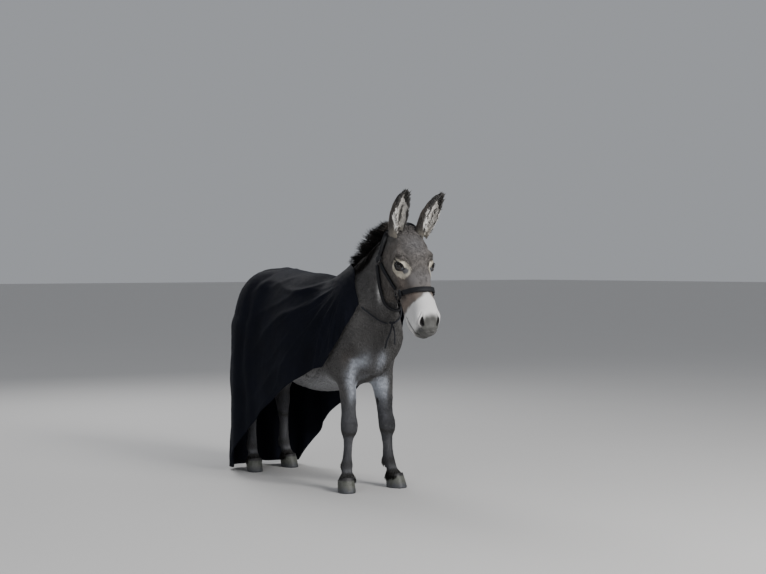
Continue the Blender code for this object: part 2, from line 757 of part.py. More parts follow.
def tail(body):
    """The tail: a bare dock above, a fuller switch of long hair below, cut where it leaves the croup."""
    rings = []
    for i in range(TAIL_STEPS + 1):
        share = i / TAIL_STEPS
        t = TAIL.t[0] + (TAIL.t[-1] + TAIL_TIP - TAIL.t[0]) * share
        side_mid, up_mid, width, above, below = TAIL.at(t)
        close = 1.0 if i < TAIL_STEPS else TAIL_TIP_SHARE
        ring = []
        for j in range(TAIL_SIDES):
            angle = 2 * math.pi * j / TAIL_SIDES
            high = above if math.cos(angle) > 0 else below
            ring.append(TAIL_FRAME.world(side_mid + width * close * math.sin(angle), t,
                                         up_mid + high * close * math.cos(angle)))
        rings.append(ring)
    obj = stack_of_rings("tail", rings)
    combined(obj, body, "DIFFERENCE")
    return largest_body(obj)


# ---------------------------------------------------------------- the halter

STRAP_THICKNESS = 0.0042
STRAP_WIDTH = 0.015
NOSEBAND_WIDTH = 0.019
THROAT_WIDTH = 0.012
STRAP_CLEARANCE = 0.0036


def both_sides(points, sign):
    return [(sign * s, a, u) for s, a, u in points]


# Places on the right side of the head, along FACE: side, along, up.
CROWN = [(0.084, 0.040, -0.108), (0.078, 0.016, -0.083), (0.066, -0.020, -0.060), (0.036, -0.036, -0.030),
         (0.0, -0.040, -0.018)]
CHEEK = [(0.084, 0.066, -0.118), (0.078, 0.098, -0.119), (0.066, 0.141, -0.117), (0.052, 0.182, -0.112)]
NOSEBAND = [(0.044, 0.210, -0.105), (0.053, 0.228, -0.071), (0.046, 0.245, -0.035), (0.026, 0.254, -0.014),
            (0.0, 0.257, -0.008)]
CHIN = [(0.040, 0.198, -0.128), (0.034, 0.196, -0.146), (0.018, 0.196, -0.166), (0.0, 0.197, -0.172)]
CHIN_SLACK = 0.016
THROAT = [(0.083, 0.062, -0.137), (0.084, 0.100, -0.158), (0.077, 0.140, -0.190), (0.060, 0.172, -0.222),
          (0.030, 0.188, -0.240), (0.0, 0.192, -0.246)]


def smooth_path(points, spacing):
    """A curve through the points, its own points spacing apart."""
    p = np.asarray(points, float)
    p = np.vstack([2 * p[0] - p[1], p, 2 * p[-1] - p[-2]])
    out = []
    for a, b, c, d in zip(p, p[1:], p[2:], p[3:]):
        for t in np.linspace(0, 1, 12, endpoint=False):
            out.append(0.5 * (2 * b + (c - a) * t + (2 * a - 5 * b + 4 * c - d) * t * t
                              + (3 * b - a - 3 * c + d) * t ** 3))
    out = np.array(out + [p[-2]])
    return respaced(out, max(2, int(round(length_of(out) / spacing))))


def length_of(points):
    return float(np.linalg.norm(np.diff(points, axis=0), axis=1).sum())


def respaced(points, count):
    along = np.concatenate([[0], np.cumsum(np.linalg.norm(np.diff(points, axis=0), axis=1))])
    want = np.linspace(0, along[-1], count + 1)
    return np.stack([np.interp(want, along, points[:, i]) for i in range(3)], 1)


def laid_on(points, field, distance, rounds=6):
    """Points moved to lie at a distance from a field's surface."""
    distance = np.broadcast_to(distance, (len(points),))
    for _ in range(rounds):
        points = points - gradient(field, points) * (field(points) - distance)[:, None] * 0.8
    return points


def strap(name, places, width, clearance=STRAP_CLEARANCE, slack=0.0, spacing=0.014):
    """A flat strap that lies on the head along the places."""
    path = smooth_path([FACE.world(*p) for p in places], spacing)
    count = len(path) - 1
    height = clearance + STRAP_THICKNESS / 2 + slack * np.sin(np.linspace(0, math.pi, count + 1)) ** 2
    for _ in range(3):
        path = respaced(laid_on(path, flesh, height), count)
    tangent = np.gradient(path, axis=0)
    tangent /= np.linalg.norm(tangent, axis=1, keepdims=True)
    out = gradient(flesh, path)
    across = np.cross(out, tangent)
    across /= np.linalg.norm(across, axis=1, keepdims=True)
    out = np.cross(tangent, across)
    under = [flesh(path + across * side * width / 2 - out * STRAP_THICKNESS / 2) for side in (-1, 0, 1)]
    lift = np.maximum(0, clearance * 0.8 - np.min(under, axis=0))
    path = path + out * lift[:, None]
    rings = []
    for p, a, o in zip(path, across, out):
        rings.append([p + a * s * width / 2 + o * h * STRAP_THICKNESS / 2
                      for s, h in ((-1, -1), (-1, 1), (1, 1), (1, -1))])
    return stack_of_rings(name, rings)


# The metal plates over the ends of the straps: place on the right side, and size along side, along and up.
BUCKLE = ((0.085, 0.053, -0.114), (0.020, 0.026, 0.003))
RING = ((0.044, 0.203, -0.112), (0.024, 0.024, 0.003))
FITTING_LIFT = 0.004


def fitting(name, place, size, sign):
    """A flat metal plate over the ends of the straps that meet at one place."""
    height = STRAP_CLEARANCE + STRAP_THICKNESS + FITTING_LIFT + size[2] / 2
    spot = laid_on(mirrored(FACE, place, sign)[None], flesh, height)[0]
    out = gradient(flesh, spot[None])[0]
    frame = Frame(spot, FACE.along, out)
    obj = frame_block(name, frame, [-s / 2 for s in size], [s / 2 for s in size])
    modifier = obj.modifiers.new("soft edges", "BEVEL")
    modifier.width, modifier.segments = 0.0008, 1
    return applied(obj)


# ---------------------------------------------------------------- the cape

CAPE_THICKNESS = 0.004
TAIL_ALLOWANCE = 0.005
CAPE_FRONT = -0.098
CAPE_CREST = 0.065
CAPE_TURN = 0.580
CAPE_HEART = 0.600
CAPE_COLLAR_COLUMNS = 5
CAPE_SIDE_COLUMNS = 9
CAPE_FAN_COLUMNS = 8
CAPE_COLUMNS = CAPE_COLLAR_COLUMNS + CAPE_SIDE_COLUMNS + CAPE_FAN_COLUMNS
CAPE_ROWS = 9
# Rows lie closer together near the top, where the back curves most.
CAPE_ROW_POWER = 1.35
# heights along the body of the collar's front edge and of the long lower edge
COLLAR_LINE = [(-0.098, 0.713), (-0.063, 0.777), (-0.036, 0.821), (-0.015, 0.843), (0.030, 0.858),
               (0.065, 0.862)]
LOWER_LINE = [(-0.098, 0.699), (-0.074, 0.635), (0.010, 0.520), (0.050, 0.474), (0.120, 0.460),
              (0.300, 0.365), (0.450, 0.265), (0.580, 0.160)]
CORNER_ANGLE = math.radians(52)
HEM_HEIGHT = 0.014
# folds: how many from front to back, the height where they begin, the drop over which they reach their full
# depth, and that depth from front to back
FOLDS = 6.0
FOLD_TOP = 0.80
FOLD_FADE = 0.45
FOLD_DEPTH = ([0, 0.25, 0.7, 1.0], [0.003, 0.008, 0.010, 0.016])


def cape_plane(t, sign):
    """Origin, outward direction and turn of the cape's cross-section; t runs from 0 in front to 1 behind."""
    column = t * CAPE_COLUMNS
    last_side = CAPE_COLLAR_COLUMNS + CAPE_SIDE_COLUMNS
    y = np.interp(column, [0, CAPE_COLLAR_COLUMNS, last_side], [CAPE_FRONT, CAPE_CREST, CAPE_TURN])
    angle = math.pi / 2 * (1 - max(0.0, column - last_side) / CAPE_FAN_COLUMNS)
    return np.array([0, y, CAPE_HEART]), np.array([sign * math.sin(angle), math.cos(angle), 0]), angle


def lower_edge(y, angle):
    """Height of the cape's lower edge: it slopes along the side, then drops to the hem's corner behind."""
    if angle >= math.pi / 2:
        return float(np.interp(y, *np.array(LOWER_LINE).T))
    return float(np.interp(angle, [CORNER_ANGLE, math.pi / 2], [HEM_HEIGHT, LOWER_LINE[-1][1]]))


def cape_fold(t, height, sign):
    """How far the cloth stands off its smooth shape: folds that deepen towards the hem."""
    deep = np.clip((FOLD_TOP - height) / FOLD_FADE, 0, 1)
    deep = deep * deep * (3 - 2 * deep)
    wave = 0.5 + 0.5 * np.sin(2 * math.pi * FOLDS * t + 0.8 * sign + 1.2 * deep)
    return deep * wave * np.interp(t, *FOLD_DEPTH)


def cape_profiles(ts, sign):
    """For each cross-section, the line of the cloth from the spine outwards and down."""
    angles = np.radians(np.linspace(0, 90, 31))
    drops = np.linspace(0.03, CAPE_HEART - 0.06, 18)
    reach = np.linspace(0.02, 0.42, 81)
    lines = []
    for t in ts:
        origin, direction, _ = cape_plane(t, sign)
        rays = [(np.sin(a) * direction + np.array([0, 0, np.cos(a)]), 0.0) for a in angles]
        rays += [(direction, drop) for drop in drops]
        places = np.array([origin - (0, 0, drop) + ray * reach[:, None] for ray, drop in rays])
        value = covered(places.reshape(-1, 3)).reshape(len(rays), len(reach)) - cape_clearance(origin[1])
        out, height = [], []
        for (ray, drop), row in zip(rays, value):
            inside = np.nonzero(row[:-1] < 0)[0]
            radius = 0.0
            if len(inside):
                last = inside.max()
                radius = reach[last] + (reach[1] - reach[0]) * row[last] / (row[last] - row[last + 1])
            out.append(radius * math.hypot(ray[0], ray[1]))
            height.append(CAPE_HEART - drop + radius * ray[2])
        # Below its widest place the cloth hangs straight down, past the floor.
        lines.append((np.maximum.accumulate(out + [0.0]), np.array(height + [-0.1])))
    return lines


def cape_clearance(y):
    """Distance from the coat to the cloth: least at the collar, most round the buttocks and the tail."""
    return float(np.interp(y, [-0.05, 0.0, 0.45, 0.58], [0.006, 0.008, 0.009, 0.013]))


def covered(points):
    """What the cape lies on: the donkey and its tail."""
    return merge(flesh(points), TAIL(points) - TAIL_ALLOWANCE, 0.02)


def cape_point(line, t, v, sign):
    """A place on the cape: t from front to back, v from the top line or collar to the lower edge."""
    origin, direction, angle = cape_plane(t, sign)
    y = origin[1]
    out, height = line
    along = np.concatenate([[0], np.cumsum(np.hypot(np.diff(out), np.diff(height)))])
    start = 0.0
    collar = np.interp(y, *np.array(COLLAR_LINE).T)
    if y < CAPE_CREST and collar < height[0]:
        start = np.interp(-collar, -height, along)
    end = np.interp(-lower_edge(y, angle), -height, along)
    s = start + (end - start) * v
    x, z = np.interp(s, along, out), np.interp(s, along, height)
    x = x + cape_fold(t, z, sign) * min(1.0, v * 3)
    return np.array([0, y, z]) + direction * x


def cape(mat):
    """The cape: one closed sheet over the back, open in front of the withers, hanging low behind."""
    ts = [i / CAPE_COLUMNS for i in range(CAPE_COLUMNS + 1)]
    columns = []
    for sign, order in ((-1, ts), (1, ts[-2::-1])):
        lines = cape_profiles(order, sign)
        for t, line in zip(order, lines):
            downs = [(r / CAPE_ROWS) ** CAPE_ROW_POWER for r in range(CAPE_ROWS + 1)]
            columns.append([cape_point(line, t, v, sign) for v in downs])
    bm = bmesh.new()
    grid = [[bm.verts.new(p) for p in column] for column in columns]
    for left, right in zip(grid, grid[1:]):
        for r in range(CAPE_ROWS):
            bm.faces.new((left[r], right[r], right[r + 1], left[r + 1]))
    bmesh.ops.remove_doubles(bm, verts=bm.verts, dist=1e-4)
    mesh = bpy.data.meshes.new("cape")
    bm.to_mesh(mesh)
    bm.free()
    obj = new_object("cape", mesh)
    modifier = obj.modifiers.new("thickness", "SOLIDIFY")
    modifier.thickness, modifier.offset = CAPE_THICKNESS, 1.0
    return finished(applied(obj), "cape", mat)


TIE_DIAMETER = 0.006
TIE_CLEARANCE = 0.0016
TIE_SIDE = [(0.099, -0.106, 0.703), (0.087, -0.116, 0.690), (0.058, -0.139, 0.661), (0.030, -0.150, 0.645),
            (0.012, -0.158, 0.640)]
KNOT_PLACE = (0.0, -0.166, 0.640)
KNOT_SIZE = (0.011, 0.0085, 0.009)
TAILS = {
    "left": [(0.004, -0.168, 0.629), (0.008, -0.169, 0.610), (0.014, -0.165, 0.585), (0.016, -0.160, 0.562)],
    "right": [(-0.004, -0.168, 0.629), (-0.010, -0.168, 0.608), (-0.020, -0.162, 0.580),
              (-0.026, -0.156, 0.548)],
}


def cord(name, points, mat):
    """A round cord along a smooth curve."""
    path = smooth_path(points, TIE_DIAMETER * 2.5)
    curve = bpy.data.curves.new(name, "CURVE")
    curve.dimensions = "3D"
    curve.bevel_depth, curve.bevel_resolution = TIE_DIAMETER / 2, 2
    curve.use_fill_caps = True
    spline = curve.splines.new("POLY")
    spline.points.add(len(path) - 1)
    for point, place in zip(spline.points, path):
        point.co = (*place, 1)
    obj = bpy.data.objects.new(name, curve)
    bpy.context.scene.collection.objects.link(obj)
    curve.materials.append(mat)
    return obj


def tie_route(sign):
    """One string of the tie, from the cape's front corner round the chest to the knot."""
    path = smooth_path([(sign * x, y, z) for x, y, z in TIE_SIDE], TIE_DIAMETER)
    return laid_on(path, flesh, TIE_DIAMETER / 2 + TIE_CLEARANCE)


def knot(mat):
    bpy.ops.mesh.primitive_uv_sphere_add(segments=10, ring_count=6, radius=1.0, location=KNOT_PLACE)
    obj = bpy.context.object
    obj.scale = KNOT_SIZE
    bpy.ops.object.transform_apply(location=False, rotation=False, scale=True)
    return finished(obj, "cape_knot", mat)


# ---------------------------------------------------------------- building everything

def build():
    clear_scene()
    coat = material("coat_grey", (0.20, 0.18, 0.17), 0.9)
    horn = material("hoof_horn", (0.42, 0.40, 0.30), 0.55)
    dark_hair = material("dark_hair", (0.03, 0.026, 0.024), 0.85)
    eye = material("eye_brown", (0.012, 0.009, 0.008), 0.08)
    webbing = material("halter_webbing", (0.012, 0.012, 0.014), 0.7)
    steel = material("halter_fittings", (0.10, 0.10, 0.11), 0.35, 0.9)
    cloth = material("cape_cloth", (0.014, 0.016, 0.026), 0.75)

    body = body_object()
    cutter = grown(body, GAP)
    for side in ("left", "right"):
        finished(ear(side, cutter), "ear_" + side, coat)
        socket = eyeball(side, GAP)
        combined(body, socket, "DIFFERENCE")
        remove(socket)
        finished(eyeball(side), "eye_" + side, eye)
    finished(mane(cutter), "mane", dark_hair)
    finished(tail(cutter), "tail", dark_hair)
    remove(cutter)

    for name in FEET:
        low = coronet_block(name)
        combined(body, low, "DIFFERENCE")
        remove(low)
        finished(hoof(name), name + "_hoof", horn)

    finished(split_off(body, head_zone(), "head"), "head", coat)
    neck_zone = frame_block("neck_zone", NECK_FRAME, (-0.20, 0.052, -0.30), (0.20, 0.60, 0.30))
    finished(split_off(body, neck_zone, "neck"), "neck", coat)
    for sign, side in ((1, "left"), (-1, "right")):
        finished(split_off(body, foreleg_zone(sign), "foreleg"), "foreleg_" + side, coat)
        finished(split_off(body, hindleg_zone(sign), "hindleg"), "hindleg_" + side, coat)
    finished(body, "trunk", coat)

    crown = both_sides(CROWN, -1) + both_sides(CROWN, 1)[-2::-1]
    finished(strap("halter_crown", crown, STRAP_WIDTH), "halter_crown", webbing)
    nose = both_sides(NOSEBAND, -1) + both_sides(NOSEBAND, 1)[-2::-1]
    finished(strap("halter_noseband", nose, NOSEBAND_WIDTH), "halter_noseband", webbing)
    chin = both_sides(CHIN, -1) + both_sides(CHIN, 1)[-2::-1]
    finished(strap("halter_chin_strap", chin, STRAP_WIDTH, slack=CHIN_SLACK), "halter_chin_strap", webbing)
    throat = both_sides(THROAT, -1) + both_sides(THROAT, 1)[-2::-1]
    latch = strap("halter_throatlatch", throat, THROAT_WIDTH, clearance=0.006)
    finished(latch, "halter_throatlatch", webbing)
    for sign, side in ((1, "left"), (-1, "right")):
        cheek = both_sides(CHEEK, sign)
        finished(strap("halter_cheek_" + side, cheek, STRAP_WIDTH), "halter_cheek_" + side, webbing)
        finished(fitting("buckle", *BUCKLE, sign), "halter_buckle_" + side, steel)
        finished(fitting("ring", *RING, sign), "halter_ring_" + side, steel)

    cape(cloth)
    for sign, side in ((1, "left"), (-1, "right")):
        cord("cape_tie_" + side, tie_route(sign), cloth)
        cord("cape_tail_" + side, TAILS[side], cloth)
    knot(cloth)

    shift = Matrix.Translation((-FOOTPRINT_CENTRE[0], -FOOTPRINT_CENTRE[1], 0))
    for obj in list(bpy.context.scene.objects):
        if obj.type == "CURVE":
            for point in obj.data.splines[0].points:
                point.co = shift @ point.co
        else:
            obj.data.transform(shift @ obj.matrix_world)
            obj.matrix_world = Matrix.Identity(4)


if __name__ == "__main__":
    build()
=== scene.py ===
"""Looks for a miniature donkey that stands in a webbing halter and a long tied cape, around its CAD frame.

Metres, +Z up. The donkey faces -Y and its left side is +X. Forms are worked out in the same coordinates as
the part's source, with the fore hooves near y = 0, and placed() moves them into the row frame.
"""
import json
import math

import bmesh
import bpy
import numpy as np
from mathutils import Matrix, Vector
from mathutils.bvhtree import BVHTree

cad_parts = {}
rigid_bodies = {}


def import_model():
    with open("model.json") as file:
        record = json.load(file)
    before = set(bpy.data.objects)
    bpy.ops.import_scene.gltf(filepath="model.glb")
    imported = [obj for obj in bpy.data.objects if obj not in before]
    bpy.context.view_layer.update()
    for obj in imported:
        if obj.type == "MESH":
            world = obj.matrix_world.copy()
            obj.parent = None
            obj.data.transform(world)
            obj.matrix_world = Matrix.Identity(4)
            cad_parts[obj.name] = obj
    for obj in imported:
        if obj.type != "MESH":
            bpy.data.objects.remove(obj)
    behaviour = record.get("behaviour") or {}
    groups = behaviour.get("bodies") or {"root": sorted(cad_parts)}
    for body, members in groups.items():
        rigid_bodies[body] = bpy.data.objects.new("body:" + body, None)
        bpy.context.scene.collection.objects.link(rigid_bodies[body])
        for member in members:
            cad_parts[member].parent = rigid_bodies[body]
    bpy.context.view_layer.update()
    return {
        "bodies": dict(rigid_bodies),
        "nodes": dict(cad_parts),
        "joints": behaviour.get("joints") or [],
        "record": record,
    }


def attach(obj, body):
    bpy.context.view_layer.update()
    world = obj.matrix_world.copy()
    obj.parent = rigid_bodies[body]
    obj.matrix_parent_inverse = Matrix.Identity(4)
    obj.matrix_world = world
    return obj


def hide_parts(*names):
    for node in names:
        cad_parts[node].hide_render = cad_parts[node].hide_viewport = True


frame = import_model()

BODY = "root"
# middle of the footprint box, in the coordinates that the forms are worked out in
CENTRE = np.array([0.0, 0.186, 0.0])
EAR_LENGTH = 0.172
EYE_RADIUS = 0.0195


def placed(points):
    """Points moved from the forms' coordinates into the row frame."""
    return np.asarray(points, float) - CENTRE


def mm(*rows):
    """Rows of numbers given in millimetres, as an array in metres."""
    return np.array(rows) / 1000


def unit(v):
    v = np.asarray(v, float)
    return v / np.linalg.norm(v)


def unit_rows(v):
    return v / np.maximum(np.linalg.norm(v, axis=1, keepdims=True), 1e-9)


def laid_flat(lies, normals):
    """Directions brought into the surface that has these normals."""
    return unit_rows(lies - normals * (lies * normals).sum(1)[:, None])


def rows_at(want, stations, rows):
    """Rows of three numbers read between their stations."""
    return np.stack([np.interp(want, stations, rows[:, i]) for i in range(3)], 1)


def run_along(points):
    """Distance along a path at each of its points."""
    return np.concatenate([[0], np.cumsum(np.linalg.norm(np.diff(points, axis=0), axis=1))])


# ---------------------------------------------------------------- camera

CAMERA_PLACE = (-3.0264, -4.1679, 0.85)
CAMERA_LOOKS = (0.616, 0.788)
CAMERA_DIP = math.radians(0.87)
CAMERA_LENS = 61.57


def camera():
    data = bpy.data.cameras.new("camera")
    data.lens, data.sensor_width = CAMERA_LENS, 36
    obj = bpy.data.objects.new("camera", data)
    bpy.context.scene.collection.objects.link(obj)
    obj.location = CAMERA_PLACE
    level = math.hypot(*CAMERA_LOOKS)
    aim = Vector((CAMERA_LOOKS[0], CAMERA_LOOKS[1], -level * math.tan(CAMERA_DIP)))
    obj.rotation_euler = aim.to_track_quat("-Z", "Y").to_euler()
    bpy.context.scene.camera = obj


camera()


# ---------------------------------------------------------------- fields
# A field gives each point its rough distance from a form: negative inside, positive outside.

def merge(a, b, blend):
    """Union of two fields with a rounded join about blend wide."""
    h = np.clip(0.5 + 0.5 * (b - a) / blend, 0, 1)
    return b + (a - b) * h - blend * h * (1 - h)


def oval_distance(parts, sizes, power=2.0):
    """Rough distance from an oval whose half sizes may differ from point to point."""
    sizes = [np.maximum(s, 1e-4) for s in sizes]
    scaled = [np.abs(p) / s for p, s in zip(parts, sizes)]
    reach = np.maximum(sum(q ** power for q in scaled), 1e-9) ** (1 / power)
    slope = sum((q ** (power - 1) / s) ** 2 for q, s in zip(scaled, sizes))
    slope = np.sqrt(np.maximum(slope, 1e-9)) * reach ** (1 - power)
    return (reach - 1) / np.maximum(slope, 1e-6)


class Frame:
    """A place with three directions: side, along and up."""

    def __init__(self, origin, along, up, side=None):
        self.origin = np.asarray(origin, float)
        self.along = unit(along)
        up = np.asarray(up, float)
        self.up = unit(up - self.along * (up @ self.along))
        self.side = np.cross(self.along, self.up) if side is None else unit(side)

    def local(self, points):
        d = points - self.origin
        return d @ self.side, d @ self.along, d @ self.up

    def world(self, side, along, up):
        """The place, or places, at these distances from the origin."""
        outer = np.multiply.outer
        return self.origin + outer(side, self.side) + outer(along, self.along) + outer(up, self.up)


class Loft:
    """A form swept along a frame's axis through oval stations.

    Each station is (along, side middle, up middle, half width, half height above, half height below). ridge
    is the share by which the form is narrower at its top than at its middle.
    """

    def __init__(self, frame, stations, caps=(0.03, 0.03), power=2.0, ridge=0.0):
        rows = np.asarray(stations, float)
        t, values = rows[:, 0], rows[:, 1:]
        slopes = np.gradient(values, t, axis=0)
        self.t = np.linspace(t[0], t[-1], 160)
        i = np.clip(np.searchsorted(t, self.t, side="right") - 1, 0, len(t) - 2)
        h = (t[i + 1] - t[i])[:, None]
        u = (self.t - t[i])[:, None] / h
        self.values = (
            (2 * u ** 3 - 3 * u ** 2 + 1) * values[i]
            + (u ** 3 - 2 * u ** 2 + u) * h * slopes[i]
            + (3 * u ** 2 - 2 * u ** 3) * values[i + 1]
            + (u ** 3 - u ** 2) * h * slopes[i + 1]
        )
        self.frame, self.caps, self.power, self.ridge = frame, caps, power, ridge

    def at(self, t):
        return [np.interp(t, self.t, column) for column in self.values.T]

    def __call__(self, points):
        side, along, up = self.frame.local(points)
        side_mid, up_mid, width, above, below = self.at(along)
        side, up = side - side_mid, up - up_mid
        over = np.minimum(along - self.t[0], 0) / self.caps[0]
        over += np.maximum(along - self.t[-1], 0) / self.caps[1]
        width = width * (1 - self.ridge * np.clip(up / above, 0, 1))
        high = np.where(up > 0, above, below)
        return oval_distance([side, up, over], [width, high, np.ones(len(up))], self.power)


def mass(points, frame, centre, half_sizes):
    """Field of an ellipsoid in a frame; centre and half sizes are side, along, up."""
    parts = [p - c for p, c in zip(frame.local(points), centre)]
    return oval_distance(parts, [np.full(len(points), h) for h in half_sizes])


def bar(points, start, end, start_radius, end_radius):
    """Field of a round tapered bar."""
    start, end = np.asarray(start, float), np.asarray(end, float)
    line = end - start
    t = np.clip((points - start) @ line / (line @ line), 0, 1)
    nearest = start + t[:, None] * line
    return np.linalg.norm(points - nearest, axis=1) - (start_radius + (end_radius - start_radius) * t)


def near_only(field, centre, reach):
    """The same field, worked out only within reach of centre, to save time."""
    def limited(points):
        away = np.linalg.norm(points - np.asarray(centre), axis=1) - reach
        value = np.maximum(away, 0.0) + 0.08
        close = away < 0
        if close.any():
            value[close] = field(points[close])
        return value
    return limited


# ---------------------------------------------------------------- the animal

STANDING = Frame((0, 0, 0), (0, 1, 0), (0, 0, 1), (1, 0, 0))

# along y: half width and topline of the trunk, from the breast to the buttocks
TRUNK_STATIONS = mm(
    (-85, -10, 590, 72, 120, 125), (-20, -10, 580, 98, 220, 163), (60, -7, 575, 124, 238, 187),
    (150, -3, 565, 152, 226, 196), (265, 0, 555, 172, 257, 198), (375, 0, 565, 171, 252, 196),
    (470, 0, 600, 156, 228, 198), (555, 0, 635, 143, 192, 175), (635, 0, 645, 128, 158, 145),
    (685, 0, 650, 100, 116, 110))
TRUNK = Loft(STANDING, TRUNK_STATIONS, caps=(0.050, 0.045), power=2.15)

NECK_FRAME = Frame((0, 0.020, 0.690), (0, -0.220, 0.215), (0, 0.215, 0.22), (1, 0, 0))
NECK_STATIONS = mm(
    (-40, 0, 0, 98, 126, 165), (60, 0, 4, 86, 132, 148), (150, 1, 7, 71, 124, 124),
    (240, 3, 9, 62, 105, 104), (320, 6, 10, 58, 84, 86))
NECK = Loft(NECK_FRAME, NECK_STATIONS, caps=(0.05, 0.045), power=2.1, ridge=0.36)

FACE_PITCH = math.radians(55)
FACE_TURN = math.radians(15)
POLL = (0.010, -0.254, 0.986)


def face_frame():
    """Origin at the poll, along to the muzzle, up out of the forehead, side to the donkey's left."""
    level = np.array([-math.sin(FACE_TURN), -math.cos(FACE_TURN), 0])
    along = level * math.cos(FACE_PITCH) - np.array([0, 0, math.sin(FACE_PITCH)])
    up = level * math.sin(FACE_PITCH) + np.array([0, 0, math.cos(FACE_PITCH)])
    return Frame(POLL, along, up, np.cross(along, up) * -1)


FACE = face_frame()
SKULL_STATIONS = mm(
    (-15, 0, -56, 50, 46, 46), (30, 0, -56, 67, 68, 60), (75, 0, -60, 74, 83, 65),
    (120, 0, -62, 72, 82, 65), (165, 0, -60, 61, 68, 60), (210, 0, -58, 50, 55, 53),
    (255, 0, -57, 45, 47, 50), (300, 0, -57, 45, 44, 48), (340, 0, -58, 47.5, 42, 46),
    (370, 0, -61, 44, 38, 41), (391, 0, -69, 35, 31, 31))
SKULL = Loft(FACE, SKULL_STATIONS, caps=(0.030, 0.014), power=2.2)
JAW_STATIONS = mm(
    (80, 0, -120, 52, 50, 52), (130, 0, -126, 52, 50, 50), (190, 0, -119, 50, 42, 50),
    (250, 0, -114, 50, 38, 50), (310, 0, -110, 51, 35, 49), (350, 0, -108, 49, 32, 43),
    (376, 0, -102, 41, 24, 34))
JAW = Loft(FACE, JAW_STATIONS, caps=(0.040, 0.014))
EYE_PLACE = (0.0560, 0.138, -0.034)


def mirrored(frame, place, sign):
    return frame.world(sign * place[0], place[1], place[2])


# rounded masses of the head: side, along, up; half sizes along the same; width of the join
CHEEK_MASSES = [((0.040, 0.112, -0.112), (0.027, 0.074, 0.064), 0.02),
                ((0.060, 0.112, -0.026), (0.021, 0.036, 0.024), 0.016)]
NOSE_WING = ((0.030, 0.356, -0.046), (0.021, 0.027, 0.022), 0.014)
LIPS = [((0, 0.386, -0.076), (0.030, 0.026, 0.026), 0.012),
        ((0, 0.368, -0.112), (0.032, 0.028, 0.022), 0.010)]


def with_mass(d, points, centre, half_sizes, join, sign=1):
    """A field of the head with one more mass, on the side that sign says."""
    return merge(d, mass(points, FACE, (sign * centre[0], *centre[1:]), half_sizes), join)


def head_field(points):
    d = merge(SKULL(points), JAW(points), 0.022)
    for sign in (-1, 1):
        for form in CHEEK_MASSES:
            d = with_mass(d, points, *form, sign)
        ridge = mirrored(FACE, (0.058, 0.130, -0.066), sign), mirrored(FACE, (0.040, 0.245, -0.070), sign)
        d = merge(d, bar(points, *ridge, 0.013, 0.007), 0.018)
        d = with_mass(d, points, *NOSE_WING, sign)
    for form in LIPS:
        d = with_mass(d, points, *form)
    return d


class Ear:
    """A tall leaf rolled round its own axis: a tube at its root that opens towards the front."""

    # along the ear: radius of the roll and half the angle that it covers
    STATIONS = [(0.0, 0.023, 2.75), (0.18, 0.029, 2.25), (0.42, 0.0355, 1.90), (0.65, 0.0330, 1.72),
                (0.84, 0.0250, 1.62), (0.95, 0.0150, 1.57), (1.0, 0.0070, 1.57)]
    THICKNESS = 0.0055

    def __init__(self, root_side, lean, opening):
        self.frame = Frame(FACE.world(root_side, 0.008, -0.024), lean, opening)
        self.rows = np.array(self.STATIONS)

    def roll(self, t):
        """Radius of the roll and half the angle that it covers, at a share of the ear's length."""
        return np.interp(t, self.rows[:, 0], self.rows[:, 1]), np.interp(t, self.rows[:, 0], self.rows[:, 2])

    def place(self, t, angle, radius):
        """A place on the ear; the angle is 0 at the middle of its back."""
        return self.frame.world(radius * math.sin(angle), EAR_LENGTH * t, -radius * math.cos(angle))


EARS = {
    "left": Ear(0.052, (0.22, -0.58, 1.0), (0.28, -1.0, 0.0)),
    "right": Ear(-0.052, (-0.02, -0.46, 1.0), (0.12, -1.0, 0.0)),
}


def leg_frame(x, y, turn_deg):
    turn = math.radians(turn_deg)
    return Frame((x, y, 0), (0, 0, 1), (math.sin(turn), -math.cos(turn), 0))


# up the leg: sideways and forward shift, half width, half depth in front, half depth behind
FORELEG_STATIONS = mm(
    (20, 0, 28, 30, 30, 30), (52, 0, 16, 30, 31, 31), (76, 0, 7, 22.5, 22, 26), (100, 0, -2, 23.5, 24, 34),
    (126, 0, -3, 19.5, 22, 28), (162, 0, -1, 18, 20, 26), (200, 0, 0, 22, 24, 28),
    (226, 0, 4, 32.5, 31, 34), (256, 0, 4, 35, 34, 35), (292, 0, 1, 30.5, 31, 35),
    (360, 0, -2, 33.5, 40, 42), (430, 0, -6, 40, 53, 57), (520, 0, -15, 47, 70, 80))
HINDLEG_STATIONS = mm(
    (20, 0, 28, 29.5, 30, 30), (52, 0, 16, 29.5, 31, 31), (76, 0, 6, 22.5, 22, 27),
    (104, 0, -5, 24, 24, 34), (135, 0, -6, 20.5, 23, 29), (190, 0, -6, 19, 22, 28),
    (240, 0, -10, 24, 27, 32), (285, 0, -12, 29, 36, 42), (328, 0, -10, 26.5, 36, 50),
    (375, 0, 10, 29, 42, 46), (430, 0, 40, 39, 62, 62), (500, 0, 68, 53, 87, 95),
    (600, 0, 60, 66, 112, 120))
# where each foot stands and how far it is turned out
FORE_LEGS = {"fore_left": (0.119, -0.008, 16.0), "fore_right": (-0.087, 0.014, -20.0)}
HIND_LEGS = {"hind_left": (0.088, 0.679, 8.0), "hind_right": (-0.088, 0.665, -10.0)}
# how far each leg has moved inwards from its foot at each height
LEG_LEAN = {
    "fore_left": ((0, 0), (0.10, 0.005), (0.24, 0.031), (0.37, 0.046), (0.52, 0.070)),
    "fore_right": ((0, 0), (0.10, 0.010), (0.24, 0.017), (0.37, 0.014), (0.52, -0.001)),
    "hind_left": ((0, 0), (0.30, 0.004), (0.60, 0.008)),
    "hind_right": ((0, 0), (0.30, 0.004), (0.60, 0.008)),
}


